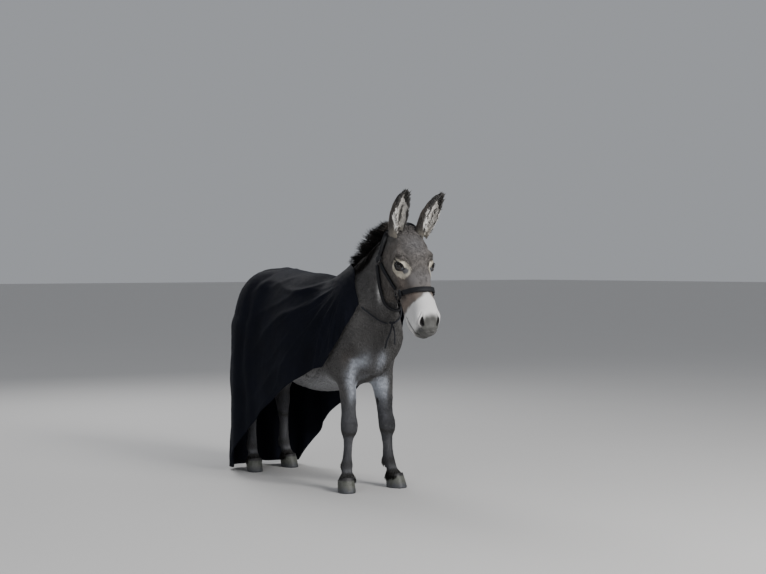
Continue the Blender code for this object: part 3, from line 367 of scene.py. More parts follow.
def leg(name, foot, stations):
    """The leg's loft: it leans inwards towards the trunk as it rises."""
    x, y, turn = foot
    frame = leg_frame(x, y, turn)
    inward = -math.copysign(1, x * frame.side[0])
    heights, leans = zip(*LEG_LEAN[name])
    rows = [(t, inward * np.interp(t, heights, leans) + s, u, w, a, b) for t, s, u, w, a, b in stations]
    return Loft(frame, rows, caps=(0.005, 0.05))


LEGS = {name: leg(name, foot, FORELEG_STATIONS) for name, foot in FORE_LEGS.items()}
LEGS |= {name: leg(name, foot, HINDLEG_STATIONS) for name, foot in HIND_LEGS.items()}

TAIL_FRAME = Frame((0, 0.723, 0.770), (0, 0.10, -0.995), (0, 1, 0), (1, 0, 0))
TAIL_STATIONS = mm(
    (-20, 0, -30, 28, 26, 30), (40, 0, 8, 23, 20, 22), (150, 0, 10, 19, 16, 18), (260, 0, 4, 18, 16, 17),
    (340, 0, 0, 26, 23, 24), (430, 0, -4, 30, 26, 26), (500, 0, -8, 16, 14, 14))
TAIL = Loft(TAIL_FRAME, TAIL_STATIONS, caps=(0.03, 0.025))

# The breast leans a little to the donkey's right.
CHEST_SHIFT = -0.010
# shoulder, elbow, hip and buttock: side, along, up; half sizes; sideways shift; width of the join
TRUNK_MASSES = [((0.054, -0.088, 0.580), (0.042, 0.046, 0.064), CHEST_SHIFT, 0.04),
                ((0.084, 0.040, 0.520), (0.042, 0.080, 0.090), CHEST_SHIFT, 0.05),
                ((0.078, 0.595, 0.640), (0.075, 0.125, 0.162), 0, 0.05),
                ((0.055, 0.680, 0.600), (0.058, 0.068, 0.130), 0, 0.05)]


def trunk_field(points):
    breast = mass(points, STANDING, (CHEST_SHIFT, -0.085, 0.560), (0.074, 0.058, 0.110))
    d = merge(TRUNK(points), breast, 0.05)
    for sign in (-1, 1):
        blade_middle = (sign * 0.079 + CHEST_SHIFT, -0.015, 0.655)
        blade = Frame(blade_middle, (-sign * 0.20, 0.42, 1.0), (0, -1, 0.42))
        d = merge(d, mass(points, blade, (0, 0, 0), (0.042, 0.145, 0.080)), 0.05)
        for (s, a, u), half_sizes, shift, join in TRUNK_MASSES:
            d = merge(d, mass(points, STANDING, (sign * s + shift, a, u), half_sizes), join)
    return d


HEAD = near_only(head_field, FACE.world(0, 0.19, -0.07), 0.36)


def flesh(points):
    """The donkey without its ears, tail and mane, out to the hair tips of its coat."""
    d = merge(trunk_field(points), NECK(points), 0.07)
    for name, field in LEGS.items():
        d = merge(d, field(points), 0.035 if name.startswith("fore") else 0.05)
    return merge(d, HEAD(points), 0.030)


# ---------------------------------------------------------------- from field to mesh

CORNERS = [(i, j, k) for i in (0, 1) for j in (0, 1) for k in (0, 1)]
EDGES = [(a, tuple(np.add(a, step))) for step in ((1, 0, 0), (0, 1, 0), (0, 0, 1)) for a in CORNERS
         if not np.dot(a, step)]


def sampled(field, low, high, step, coarse=4):
    """The field on a regular grid, worked out at every point only in the blocks near its surface."""
    blocks = np.ceil((np.asarray(high) - low) / (step * coarse)).astype(int)
    middles = [low[i] + step * coarse * (np.arange(blocks[i]) + 0.5) for i in range(3)]
    rough = field(np.stack(np.meshgrid(*middles, indexing="ij"), -1).reshape(-1, 3)).reshape(blocks)
    values = rough
    for axis in range(3):
        values = np.repeat(values, coarse, axis=axis)
    near = np.abs(rough) < step * coarse * 1.6 + 0.006
    inner = np.stack(np.meshgrid(*[np.arange(coarse)] * 3, indexing="ij"), -1).reshape(-1, 3)
    index = (np.argwhere(near)[:, None, :] * coarse + inner[None]).reshape(-1, 3)
    values[tuple(index.T)] = field(low + step * index)
    return values, blocks * coarse


def surface(field, low, high, step):
    """Vertices and quads of the field's surface, one vertex in each grid cell that it crosses."""
    low = np.asarray(low, float)
    values, count = sampled(field, low, high, step)
    inside = values < 0
    total = np.zeros(tuple(count - 1), np.int8)
    for c in CORNERS:
        total += inside[c[0]:count[0] - 1 + c[0], c[1]:count[1] - 1 + c[1], c[2]:count[2] - 1 + c[2]]
    cells = np.argwhere((total > 0) & (total < 8))
    number = np.full(tuple(count - 1), -1, np.int32)
    number[tuple(cells.T)] = np.arange(len(cells))
    place, hits = np.zeros((len(cells), 3)), np.zeros(len(cells))
    for a, b in EDGES:
        va = values[tuple((cells + a).T)]
        vb = values[tuple((cells + b).T)]
        cross = (va < 0) != (vb < 0)
        t = np.where(cross, va / np.where(cross, va - vb, 1), 0)
        point = np.array(a) + t[:, None] * (np.array(b) - np.array(a))
        place += point * cross[:, None]
        hits += cross
    vertices = low + step * (cells + place / hits[:, None])
    quads = []
    for axis in range(3):
        u, v = [(1, 2), (2, 0), (0, 1)][axis]
        step_to = np.zeros(3, int)
        step_to[axis] = 1
        start = np.argwhere(inside[tuple(slice(0, n - 1) for n in count)] != inside[tuple(
            slice(s, n - 1 + s) for s, n in zip(step_to, count))])
        start = start[(start[:, u] > 0) & (start[:, v] > 0)]
        du, dv = np.zeros(3, int), np.zeros(3, int)
        du[u], dv[v] = 1, 1
        ring = [number[tuple((start - a).T)] for a in (du + dv, dv, 0 * du, du)]
        quad = np.stack(ring, 1)
        flip = ~inside[tuple(start.T)]
        quad[flip] = quad[flip][:, ::-1]
        quads.append(quad)
    return vertices, np.concatenate(quads)


MANE_FRONT, MANE_BACK = -0.188, 0.010


def crest(y):
    """Place and outward direction of the crest, the neck's top line, at one y."""
    line = np.linspace(0.60, 1.08, 241)
    side = np.interp(y, [-0.26, -0.05, 0.05], [0.006, 0.0, 0.0])
    places = np.stack([np.full(241, side), np.full(241, y), line], -1)
    top = line[np.nonzero(flesh(places) < 0)[0].max()]
    place = np.array([side, y, top])
    return place, gradient(flesh, place[None])[0]


def gradient(field, points, step=0.002):
    """Unit direction in which a field grows at each point."""
    out = np.empty_like(points)
    for axis in range(3):
        shift = np.zeros(3)
        shift[axis] = step
        out[:, axis] = field(points + shift) - field(points - shift)
    return unit_rows(out)


# ---------------------------------------------------------------- strap lines

STRAP_THICKNESS = 0.0042
STRAP_WIDTH = 0.015
NOSEBAND_WIDTH = 0.019
THROAT_WIDTH = 0.012
STRAP_CLEARANCE = 0.0036


def both_sides(points, sign):
    return [(sign * s, a, u) for s, a, u in points]


# Places on the right side of the head, along FACE: side, along, up.
CROWN = mm((84, 40, -108), (78, 16, -83), (66, -20, -60), (36, -36, -30), (0, -40, -18))
CHEEK = mm((84, 66, -118), (78, 98, -119), (66, 141, -117), (52, 182, -112))
NOSEBAND = mm((44, 210, -105), (53, 228, -71), (46, 245, -35), (26, 254, -14), (0, 257, -8))
CHIN = mm((40, 198, -128), (34, 196, -146), (18, 196, -166), (0, 197, -172))
CHIN_SLACK = 0.016
THROAT = mm(
    (83, 62, -137), (84, 100, -158), (77, 140, -190), (60, 172, -222), (30, 188, -240), (0, 192, -246))


def smooth_path(points, spacing):
    """A curve through the points, its own points spacing apart."""
    p = np.asarray(points, float)
    p = np.vstack([2 * p[0] - p[1], p, 2 * p[-1] - p[-2]])
    out = []
    for a, b, c, d in zip(p, p[1:], p[2:], p[3:]):
        for t in np.linspace(0, 1, 12, endpoint=False):
            out.append(0.5 * (2 * b + (c - a) * t + (2 * a - 5 * b + 4 * c - d) * t * t
                              + (3 * b - a - 3 * c + d) * t ** 3))
    out = np.array(out + [p[-2]])
    return respaced(out, max(2, int(round(length_of(out) / spacing))))


def length_of(points):
    return float(np.linalg.norm(np.diff(points, axis=0), axis=1).sum())


def respaced(points, count):
    along = run_along(points)
    return rows_at(np.linspace(0, along[-1], count + 1), along, points)


def laid_on(points, field, distance, rounds=6):
    """Points moved to lie at a distance from a field's surface."""
    distance = np.broadcast_to(distance, (len(points),))
    for _ in range(rounds):
        points = points - gradient(field, points) * (field(points) - distance)[:, None] * 0.8
    return points


def strap_line(places, width, clearance, slack, spacing):
    """The middle line, sideways and outward directions of a flat strap that lies on the head."""
    path = smooth_path(FACE.world(*np.array(places).T), spacing)
    count = len(path) - 1
    height = clearance + STRAP_THICKNESS / 2 + slack * np.sin(np.linspace(0, math.pi, count + 1)) ** 2
    for _ in range(3):
        path = respaced(laid_on(path, flesh, height), count)
    tangent = np.gradient(path, axis=0)
    tangent /= np.linalg.norm(tangent, axis=1, keepdims=True)
    out = gradient(flesh, path)
    across = np.cross(out, tangent)
    across /= np.linalg.norm(across, axis=1, keepdims=True)
    out = np.cross(tangent, across)
    under = [flesh(path + across * side * width / 2 - out * STRAP_THICKNESS / 2) for side in (-1, 0, 1)]
    lift = np.maximum(0, clearance * 0.8 - np.min(under, axis=0))
    path = path + out * lift[:, None]
    return path, across, out


# ---------------------------------------------------------------- cape lines

TAIL_ALLOWANCE = 0.005
CAPE_FRONT = -0.098
CAPE_CREST = 0.065
CAPE_TURN = 0.580
CAPE_HEART = 0.600
CAPE_COLLAR_COLUMNS = 5
CAPE_SIDE_COLUMNS = 9
CAPE_FAN_COLUMNS = 8
CAPE_COLUMNS = CAPE_COLLAR_COLUMNS + CAPE_SIDE_COLUMNS + CAPE_FAN_COLUMNS
# Rows lie closer together near the top, where the back curves most.
CAPE_ROW_POWER = 1.35
# heights along the body of the collar's front edge and of the long lower edge
COLLAR_LINE = mm((-98, 713), (-63, 777), (-36, 821), (-15, 843), (30, 858), (65, 862))
LOWER_LINE = mm(
    (-98, 699), (-74, 635), (10, 520), (50, 474), (120, 460), (300, 365), (450, 265), (580, 160))
CORNER_ANGLE = math.radians(52)
HEM_HEIGHT = 0.014
# folds: how many from front to back, the height where they begin, the drop over which they reach their full
# depth, and that depth from front to back
FOLDS = 6.0
FOLD_TOP = 0.80
FOLD_FADE = 0.45
FOLD_DEPTH = ([0, 0.25, 0.7, 1.0], [0.003, 0.008, 0.010, 0.016])


def cape_plane(t, sign):
    """Origin, outward direction and turn of the cape's cross-section; t runs from 0 in front to 1 behind."""
    column = t * CAPE_COLUMNS
    last_side = CAPE_COLLAR_COLUMNS + CAPE_SIDE_COLUMNS
    y = np.interp(column, [0, CAPE_COLLAR_COLUMNS, last_side], [CAPE_FRONT, CAPE_CREST, CAPE_TURN])
    angle = math.pi / 2 * (1 - max(0.0, column - last_side) / CAPE_FAN_COLUMNS)
    return np.array([0, y, CAPE_HEART]), np.array([sign * math.sin(angle), math.cos(angle), 0]), angle


def lower_edge(y, angle):
    """Height of the cape's lower edge: it slopes along the side, then drops to the hem's corner behind."""
    if angle >= math.pi / 2:
        return float(np.interp(y, *LOWER_LINE.T))
    return float(np.interp(angle, [CORNER_ANGLE, math.pi / 2], [HEM_HEIGHT, LOWER_LINE[-1][1]]))


def cape_fold(t, height, sign):
    """How far the cloth stands off its smooth shape: folds that deepen towards the hem."""
    deep = np.clip((FOLD_TOP - height) / FOLD_FADE, 0, 1)
    deep = deep * deep * (3 - 2 * deep)
    wave = 0.5 + 0.5 * np.sin(2 * math.pi * FOLDS * t + 0.8 * sign + 1.2 * deep)
    return deep * wave * np.interp(t, *FOLD_DEPTH)


def cape_profiles(ts, sign):
    """For each cross-section, the line of the cloth from the spine outwards and down."""
    angles = np.radians(np.linspace(0, 90, 31))
    drops = np.linspace(0.03, CAPE_HEART - 0.06, 18)
    reach = np.linspace(0.02, 0.42, 81)
    lines = []
    for t in ts:
        origin, direction, _ = cape_plane(t, sign)
        rays = [(np.sin(a) * direction + np.array([0, 0, np.cos(a)]), 0.0) for a in angles]
        rays += [(direction, drop) for drop in drops]
        places = np.array([origin - (0, 0, drop) + ray * reach[:, None] for ray, drop in rays])
        value = covered(places.reshape(-1, 3)).reshape(len(rays), len(reach)) - cape_clearance(origin[1])
        out, height = [], []
        for (ray, drop), row in zip(rays, value):
            inside = np.nonzero(row[:-1] < 0)[0]
            radius = 0.0
            if len(inside):
                last = inside.max()
                radius = reach[last] + (reach[1] - reach[0]) * row[last] / (row[last] - row[last + 1])
            out.append(radius * math.hypot(ray[0], ray[1]))
            height.append(CAPE_HEART - drop + radius * ray[2])
        # Below its widest place the cloth hangs straight down, past the floor.
        lines.append((np.maximum.accumulate(out + [0.0]), np.array(height + [-0.1])))
    return lines


def cape_clearance(y):
    """Distance from the coat to the cloth: least at the collar, most round the buttocks and the tail."""
    return float(np.interp(y, [-0.05, 0.0, 0.45, 0.58], [0.006, 0.008, 0.009, 0.013]))


def covered(points):
    """What the cape lies on: the donkey and its tail."""
    return merge(flesh(points), TAIL(points) - TAIL_ALLOWANCE, 0.02)


def cape_point(line, t, v, sign):
    """A place on the cape: t from front to back, v from the top line or collar to the lower edge."""
    origin, direction, angle = cape_plane(t, sign)
    y = origin[1]
    out, height = line
    along = np.concatenate([[0], np.cumsum(np.hypot(np.diff(out), np.diff(height)))])
    start = 0.0
    collar = np.interp(y, *COLLAR_LINE.T)
    if y < CAPE_CREST and collar < height[0]:
        start = np.interp(-collar, -height, along)
    end = np.interp(-lower_edge(y, angle), -height, along)
    s = start + (end - start) * v
    x, z = np.interp(s, along, out), np.interp(s, along, height)
    x = x + cape_fold(t, z, sign) * min(1.0, v * 3)
    return np.array([0, y, z]) + direction * x


# ---------------------------------------------------------------- hoof and tie data

HOOF_TOE_HEIGHT = 0.058
HOOF_HEEL_HEIGHT = 0.038
HOOF_TOP = (0.0305, 0.049, -0.016)
HOOF_SOLE = {"fore": (0.0330, 0.069, -0.014), "hind": (0.0310, 0.067, -0.013)}
FEET = FORE_LEGS | HIND_LEGS
CORONET_SLOPE = (HOOF_TOE_HEIGHT - HOOF_HEEL_HEIGHT) / (HOOF_TOP[1] - HOOF_TOP[2])


def coronet(forward):
    """Height of the coronet's sloping plane at a place along the foot."""
    return HOOF_HEEL_HEIGHT + CORONET_SLOPE * (forward - HOOF_TOP[2])


def squared(value):
    """A sine made fuller, so that the oval it draws is a little squarer."""
    return math.copysign(abs(value) ** 0.85, value)


TIE_DIAMETER = 0.006
TIE_CLEARANCE = 0.0016
TIE_SIDE = mm((99, -106, 703), (87, -116, 690), (58, -139, 661), (30, -150, 645), (12, -158, 640))
KNOT_PLACE = (0.0, -0.166, 0.640)
TAILS = {
    "left": mm((4, -168, 629), (8, -169, 610), (14, -165, 585), (16, -160, 562)),
    "right": mm((-4, -168, 629), (-10, -168, 608), (-20, -162, 580), (-26, -156, 548)),
}


def tie_route(sign):
    """One string of the tie, from the cape's front corner round the chest to the knot."""
    path = smooth_path([(sign * x, y, z) for x, y, z in TIE_SIDE], TIE_DIAMETER)
    return laid_on(path, flesh, TIE_DIAMETER / 2 + TIE_CLEARANCE)


# ---------------------------------------------------------------- making pieces

def mesh_object(name, vertices, faces, finish=None, smooth=True):
    """An object from points in the forms' coordinates and faces: arrays of corners, one per kind of face."""
    groups = [np.asarray(g, np.int32) for g in (faces if isinstance(faces, list) else [faces])]
    groups = [g for g in groups if len(g)]
    mesh = bpy.data.meshes.new(name)
    mesh.vertices.add(len(vertices))
    mesh.vertices.foreach_set("co", placed(vertices).astype(np.float32).ravel())
    corners = np.concatenate([g.ravel() for g in groups])
    sizes = np.concatenate([np.full(len(g), g.shape[1]) for g in groups])
    mesh.loops.add(len(corners))
    mesh.loops.foreach_set("vertex_index", corners)
    mesh.polygons.add(len(sizes))
    mesh.polygons.foreach_set("loop_start", np.concatenate([[0], np.cumsum(sizes)[:-1]]).astype(np.int32))
    if smooth:
        mesh.polygons.foreach_set("use_smooth", np.ones(len(sizes), bool))
    mesh.update(calc_edges=True)
    obj = bpy.data.objects.new(name, mesh)
    bpy.context.scene.collection.objects.link(obj)
    if finish:
        mesh.materials.append(finish)
    return obj


def point_colours(obj, name, colours):
    """Stores a colour at each point of an object."""
    rgba = np.ones((len(obj.data.vertices), 4), np.float32)
    rgba[:, :3] = colours
    layer = obj.data.color_attributes.new(name=name, type="FLOAT_COLOR", domain="POINT")
    layer.data.foreach_set("color", rgba.ravel())


def point_values(obj, name, values):
    layer = obj.data.attributes.new(name=name, type="FLOAT", domain="POINT")
    layer.data.foreach_set("value", np.asarray(values, np.float32))


def corner_uv(obj, name, uv_of_points):
    """A UV map whose value at each corner is that of its point."""
    layer = obj.data.uv_layers.new(name=name)
    corners = np.empty(len(obj.data.loops), np.int32)
    obj.data.loops.foreach_get("vertex_index", corners)
    layer.data.foreach_set("uv", np.asarray(uv_of_points, np.float32)[corners].ravel())


def points_of(obj):
    """An object's points in the forms' coordinates."""
    co = np.empty(len(obj.data.vertices) * 3, np.float32)
    obj.data.vertices.foreach_get("co", co)
    return co.reshape(-1, 3).astype(float) + CENTRE


def normals_of(obj):
    out = np.empty(len(obj.data.vertices) * 3, np.float32)
    obj.data.vertex_normals.foreach_get("vector", out)
    return out.reshape(-1, 3).astype(float)


def applied(obj):
    """Bakes an object's modifiers into a mesh of its own."""
    graph = bpy.context.evaluated_depsgraph_get()
    mesh = bpy.data.meshes.new_from_object(obj.evaluated_get(graph))
    obj.modifiers.clear()
    obj.data = mesh
    return obj


def modified(obj, kind, **settings):
    """An object with one modifier applied."""
    modifier = obj.modifiers.new(kind.lower(), kind)
    for key, value in settings.items():
        setattr(modifier, key, value)
    return applied(obj)


def reworked(obj, work):
    """An object after work on its mesh's elements."""
    bm = bmesh.new()
    bm.from_mesh(obj.data)
    work(bm)
    bm.to_mesh(obj.data)
    bm.free()
    return obj


def primitive(kind, **sizes):
    """A new object of a plain kind, selected on its own."""
    bpy.ops.object.select_all(action="DESELECT")
    getattr(bpy.ops.mesh, "primitive_" + kind + "_add")(**sizes)
    return bpy.context.object


def belongs(obj, slot, *nodes):
    """The piece rides on the donkey and stands for CAD nodes; its slot is not used."""
    obj.data.name = obj.name
    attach(obj, BODY)
    if nodes:
        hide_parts(*nodes)
    return obj


def ring_stack(name, rings, finish, folded=False):
    """A solid through rings of equally many points, closed by a fan at each end.

    A folded ring runs out along one face of a thin leaf and back along the other, and is closed across it.
    """
    rings = np.asarray(rings, float)
    rows, n = rings.shape[:2]
    points = rings.reshape(-1, 3)
    r, i = np.meshgrid(np.arange(rows - 1), np.arange(n), indexing="ij")
    j = (i + 1) % n
    quads = np.stack([r * n + i, r * n + j, (r + 1) * n + j, (r + 1) * n + i], -1).reshape(-1, 4)
    last = (rows - 1) * n
    if folded:
        a = np.arange(n // 2 - 1)
        cap = np.stack([a, a + 1, n - 2 - a, n - 1 - a], 1)
        return outward(mesh_object(name, points, [np.concatenate([quads, cap, last + cap])], finish))
    points = np.vstack([points, rings[0].mean(0), rings[-1].mean(0)])
    a = np.arange(n)
    b = (a + 1) % n
    fans = [np.stack([b, a, np.full(n, rows * n)], 1),
            np.stack([last + a, last + b, np.full(n, rows * n + 1)], 1)]
    return outward(mesh_object(name, points, [quads, *fans], finish))


def outward(obj):
    """Turns an object's faces outwards."""
    return reworked(obj, lambda bm: bmesh.ops.recalc_face_normals(bm, faces=bm.faces))


def smoothstep(x, low, high):
    t = np.clip((x - low) / (high - low), 0, 1)
    return t * t * (3 - 2 * t)


def bell(x, width):
    return np.exp(-(x / width) ** 2)


def ripple(points, scale, seed):
    """A smooth uneven value from -1 to 1 over space, about scale wide."""
    rng = np.random.default_rng(seed)
    total = np.zeros(len(points))
    for _ in range(6):
        direction = rng.normal(size=3)
        direction *= rng.uniform(0.6, 1.5) * 2 * math.pi / (scale * np.linalg.norm(direction))
        total += np.sin(points @ direction + rng.uniform(0, 6.28))
    return np.clip(total / 3.2, -1, 1)


# ---------------------------------------------------------------- materials

class Value:
    """A number in a shader: sums and products of it add Math nodes."""

    def __init__(self, finish, socket):
        self.finish, self.socket = finish, socket

    def __add__(self, other):
        return self.finish.node("ShaderNodeMath", {"operation": "ADD"}, (self, other))

    def __mul__(self, other):
        return self.finish.node("ShaderNodeMath", {"operation": "MULTIPLY"}, (self, other))

    def limited(self, low, high):
        """0 at low, 1 at high and straight between."""
        return self.finish.node("ShaderNodeMapRange", {"clamp": True}, {0: self, 1: low, 2: high})


class Finish:
    """A material whose shader is wired in Python."""

    def __init__(self, name, **constants):
        self.material = bpy.data.materials.new(name)
        self.material.use_nodes = True
        self.tree = self.material.node_tree
        self.shader = self.tree.nodes["Principled BSDF"]
        for key, value in constants.items():
            self.set(key.replace("_", " "), value)

    def set(self, socket, value):
        """Gives one socket of the main shader a value or a link."""
        self.fill(self.shader.inputs[socket], value)
        if socket == "Base Color" and isinstance(value, tuple):
            self.material.diffuse_color = (*value, 1)

    def fill(self, socket, value):
        if isinstance(value, Value):
            self.tree.links.new(value.socket, socket)
        elif isinstance(value, tuple) and socket.type == "RGBA":
            socket.default_value = (*value, 1)
        else:
            socket.default_value = value

    def node(self, kind, settings=None, inputs=(), out=0):
        """Adds a node: its settings first, then what goes into its sockets; gives back one output."""
        node = self.tree.nodes.new(kind)
        for key, value in (settings or {}).items():
            setattr(node, key, value)
        pairs = inputs.items() if isinstance(inputs, dict) else enumerate(inputs)
        for key, value in pairs:
            self.fill(node.inputs[key], value)
        return Value(self, node.outputs[out])

    def coordinates(self):
        return self.node("ShaderNodeTexCoord", out="Object")

    def uv(self, name):
        return self.node("ShaderNodeUVMap", {"uv_map": name})

    def attribute(self, name, out="Color"):
        return self.node("ShaderNodeAttribute", {"attribute_name": name}, out=out)

    def stretched(self, vector, scale):
        return self.node("ShaderNodeMapping", {}, {"Vector": vector, "Scale": scale})

    def noise(self, vector, scale, detail=3.0, rough=0.55):
        return self.node("ShaderNodeTexNoise", {},
                         {"Vector": vector, "Scale": scale, "Detail": detail, "Roughness": rough})

    def wave(self, vector, direction, scale, distortion, detail=2.0):
        return self.node("ShaderNodeTexWave", {"wave_type": "BANDS", "bands_direction": direction},
                         {"Vector": vector, "Scale": scale, "Distortion": distortion, "Detail": detail})

    def mixed(self, share, a, b, mode="MIX"):
        """Two colours mixed by a share."""
        settings = {"data_type": "RGBA", "blend_type": mode}
        return self.node("ShaderNodeMix", settings, {0: share, 6: a, 7: b}, out=2)

    def finished(self, colour, roughness, height, distance):
        """The material, its colour, roughness and bump wired."""
        self.set("Base Color", colour)
        self.set("Roughness", roughness)
        self.set("Normal", self.node("ShaderNodeBump", {}, {"Distance": distance, "Height": height}))
        return self.material


def hide_finish():
    """The skin with its shortest hair: marked by the hide attribute, with fine strokes that run down."""
    f = Finish("coat_skin", Roughness=0.82, Sheen_Weight=0.08, Sheen_Roughness=0.5)
    place = f.coordinates()
    strokes = f.noise(f.stretched(place, (1.0, 1.0, 0.28)), 620.0, 3.0, 0.6)
    patches = f.noise(place, 38.0, 3.0)
    tone = f.attribute("hide")
    tone = f.mixed(strokes.limited(0.35, 0.72) * 0.28, tone, (0.35, 0.35, 0.35), "MULTIPLY")
    tone = f.mixed(patches.limited(0.4, 0.7) * 0.15, tone, (0.75, 0.72, 0.70), "MULTIPLY")
    return f.finished(tone, strokes * 0.2 + 0.72, strokes + patches * 0.5, 0.0005)


def coat_finish(name, rough=0.66, sheen=0.12, gloss=0.5):
    """Tufts of hair: the same markings, with painted shade towards the root of dark hair, each tuft a little
    different.
    """
    f = Finish(name, Roughness=rough, Specular_IOR_Level=gloss, Sheen_Weight=sheen, Sheen_Roughness=0.4)
    own = f.attribute("own", "Fac")
    tone = f.mixed(own * 0.35, f.attribute("hide"), (0.55, 0.54, 0.53), "MULTIPLY")
    grain = f.noise(f.coordinates(), 1500.0, 2.0)
    tone = f.mixed(grain.limited(0.4, 0.7) * 0.25, tone, (0.6, 0.58, 0.56), "MULTIPLY")
    return f.finished(tone, grain * 0.2 + (rough - 0.1), grain, 0.0003)


# scale of the waves that stand for the cape's threads, on its map in metres
THREADS = 180.0


def cloth_finish():
    """The cape: dark plain-woven cloth with a soft sheen."""
    f = Finish("cape_cloth", Roughness=0.7, Specular_IOR_Level=0.08, Sheen_Weight=0.02, Sheen_Roughness=0.4,
               Sheen_Tint=(0.35, 0.42, 0.70))
    uv = f.uv("cloth")
    weave = f.wave(uv, "X", THREADS, 0.3, 1.0) * f.wave(uv, "Y", THREADS, 0.3, 1.0)
    cloud = f.noise(uv, 9.0, 4.0)
    tone = f.mixed(cloud.limited(0.3, 0.75), (0.0030, 0.0036, 0.0065), (0.0055, 0.0066, 0.0120))
    tone = f.mixed(weave * 0.4, tone, (0.009, 0.010, 0.018))
    return f.finished(tone, cloud * 0.2 + 0.6, weave + cloud * 0.6, 0.0004)


def webbing_finish():
    """Woven nylon tape: ribs across it and a stitched edge."""
    f = Finish("halter_webbing", Roughness=0.6, Specular_IOR_Level=0.28)
    uv = f.uv("tape")
    ribs, twill = f.wave(uv, "X", 130.0, 0.4), f.wave(uv, "DIAGONAL", 160.0, 0.6)
    worn = f.noise(uv, 60.0, 4.0)
    tone = f.mixed(worn.limited(0.45, 0.75) * 0.7, (0.0045, 0.0048, 0.0065), (0.016, 0.016, 0.018))
    tone = f.mixed(twill * 0.35, tone, (0.017, 0.018, 0.023))
    return f.finished(tone, worn * 0.3 + 0.45, ribs * 0.5 + twill * 0.5, 0.0004)


def cord_finish():
    """The twisted cord that ties the cape."""
    f = Finish("tie_cord", Roughness=0.6)
    twist = f.wave(f.uv("cord"), "DIAGONAL", 1.6, 0.2)
    wear = f.noise(f.coordinates(), 220.0, 3.0)
    tone = f.mixed(wear.limited(0.35, 0.75), (0.008, 0.009, 0.014), (0.022, 0.024, 0.034))
    return f.finished(tone, wear * 0.3 + 0.45, twist, 0.0008)


def steel_finish():
    """Worn dark-plated steel of the buckles and rings."""
    f = Finish("halter_fittings", Metallic=1.0, Roughness=0.35)
    place = f.coordinates()
    wear, scratch = f.noise(place, 160.0, 4.0), f.noise(f.stretched(place, (1, 1, 0.1)), 900.0, 2.0)
    tone = f.mixed(wear.limited(0.4, 0.7), (0.10, 0.10, 0.105), (0.28, 0.275, 0.27))
    return f.finished(tone, wear * 0.3 + 0.2, scratch, 0.00008)


def horn_finish():
    """Hoof horn: pale green-grey wall, darker towards the ground, with growth rings."""
    f = Finish("hoof_horn", Roughness=0.5)
    place = f.coordinates()
    height = f.node("ShaderNodeSeparateXYZ", {}, {0: place}, out="Z")
    grain = f.noise(f.stretched(place, (1.0, 1.0, 0.12)), 420.0, 3.0)
    rings = f.noise(f.stretched(place, (0.1, 0.1, 1.0)), 320.0, 2.0)
    patch = f.noise(place, 60.0, 4.0)
    wall = (height + patch * 0.020).limited(0.018, 0.036)
    tone = f.mixed(wall, (0.052, 0.055, 0.064), (0.090, 0.093, 0.082))
    tone = f.mixed(grain.limited(0.4, 0.7) * 0.6, tone, (0.62, 0.60, 0.55), "MULTIPLY")
    tone = f.mixed(patch.limited(0.48, 0.66) * 0.7, tone, (0.42, 0.44, 0.34), "MULTIPLY")
    tone = f.mixed((height + patch * 0.01).limited(0.014, 0.004), tone, (0.050, 0.052, 0.060))
    tone = f.mixed((height + patch * 0.006).limited(0.046, 0.052), tone, (0.012, 0.011, 0.012))
    return f.finished(tone, grain * 0.3 + 0.38, rings * 1.2 + grain * 0.5, 0.0007)


def eye_finish():
    """A wet dark brown eye: the iris round a level pupil, painted by the eye's own attributes."""
    f = Finish("eye_brown", Roughness=0.06, Coat_Weight=1.0, Coat_Roughness=0.02, IOR=1.38,
               Specular_IOR_Level=0.1)
    iris, pupil = f.attribute("iris", "Fac"), f.attribute("pupil", "Fac")
    threads = f.noise(f.coordinates(), 900.0, 3.0)
    brown = f.mixed(threads, (0.008, 0.005, 0.004), (0.024, 0.014, 0.008))
    white = f.mixed(threads * 0.6, (0.100, 0.105, 0.120), (0.050, 0.052, 0.060))
    tone = f.mixed(iris, white, brown)
    f.set("Base Color", f.mixed(pupil, tone, (0.0025, 0.0025, 0.004)))
    return f.material


# ---------------------------------------------------------------- skin

BODY_COAT, LEG_COAT, HEAD_COAT, MUZZLE_COAT = 0.0055, 0.0032, 0.0030, 0.0012
# The grid's cells, the first that gives a surface without pinched edges.
BODY_CELLS = (0.0064, 0.0063, 0.0065, 0.0062, 0.0066, 0.0061, 0.0067)


def coat_depth(points):
    """How deep the skin lies under the hair tips: deepest on the body, least on the muzzle."""
    _, along, up = FACE.local(points)
    on_head = smoothstep(along, -0.03, 0.06) * smoothstep(-up, 0.24, 0.17)
    depth = BODY_COAT + (LEG_COAT - BODY_COAT) * smoothstep(-points[:, 2], -0.42, -0.30)
    depth = depth + (HEAD_COAT - depth) * on_head
    return depth + (MUZZLE_COAT - depth) * on_head * smoothstep(along, 0.24, 0.30)


def hide(points):
    """Field of the skin: the flesh inside its coat."""
    return flesh(points) + coat_depth(points)


def eye_axes(sign):
    """The middle of an eyeball and the directions out of the head, towards the muzzle and up the brow."""
    centre = mirrored(FACE, EYE_PLACE, sign)
    out = unit(FACE.side * sign * 0.84 + FACE.along * 0.42 + FACE.up * 0.34)
    nasal = FACE.along * 0.78 + FACE.up * 0.56 - FACE.side * sign * 0.30
    nasal = unit(nasal - out * (nasal @ out))
    brow = np.cross(nasal, out)
    return centre, out, nasal, brow * math.copysign(1, brow @ FACE.up)


EYES = {sign: eye_axes(sign) for sign in (-1, 1)}
LID = 0.0026
LID_HALF_LENGTH = 1.20
LID_RISE, LID_DROP = 0.72, 0.56


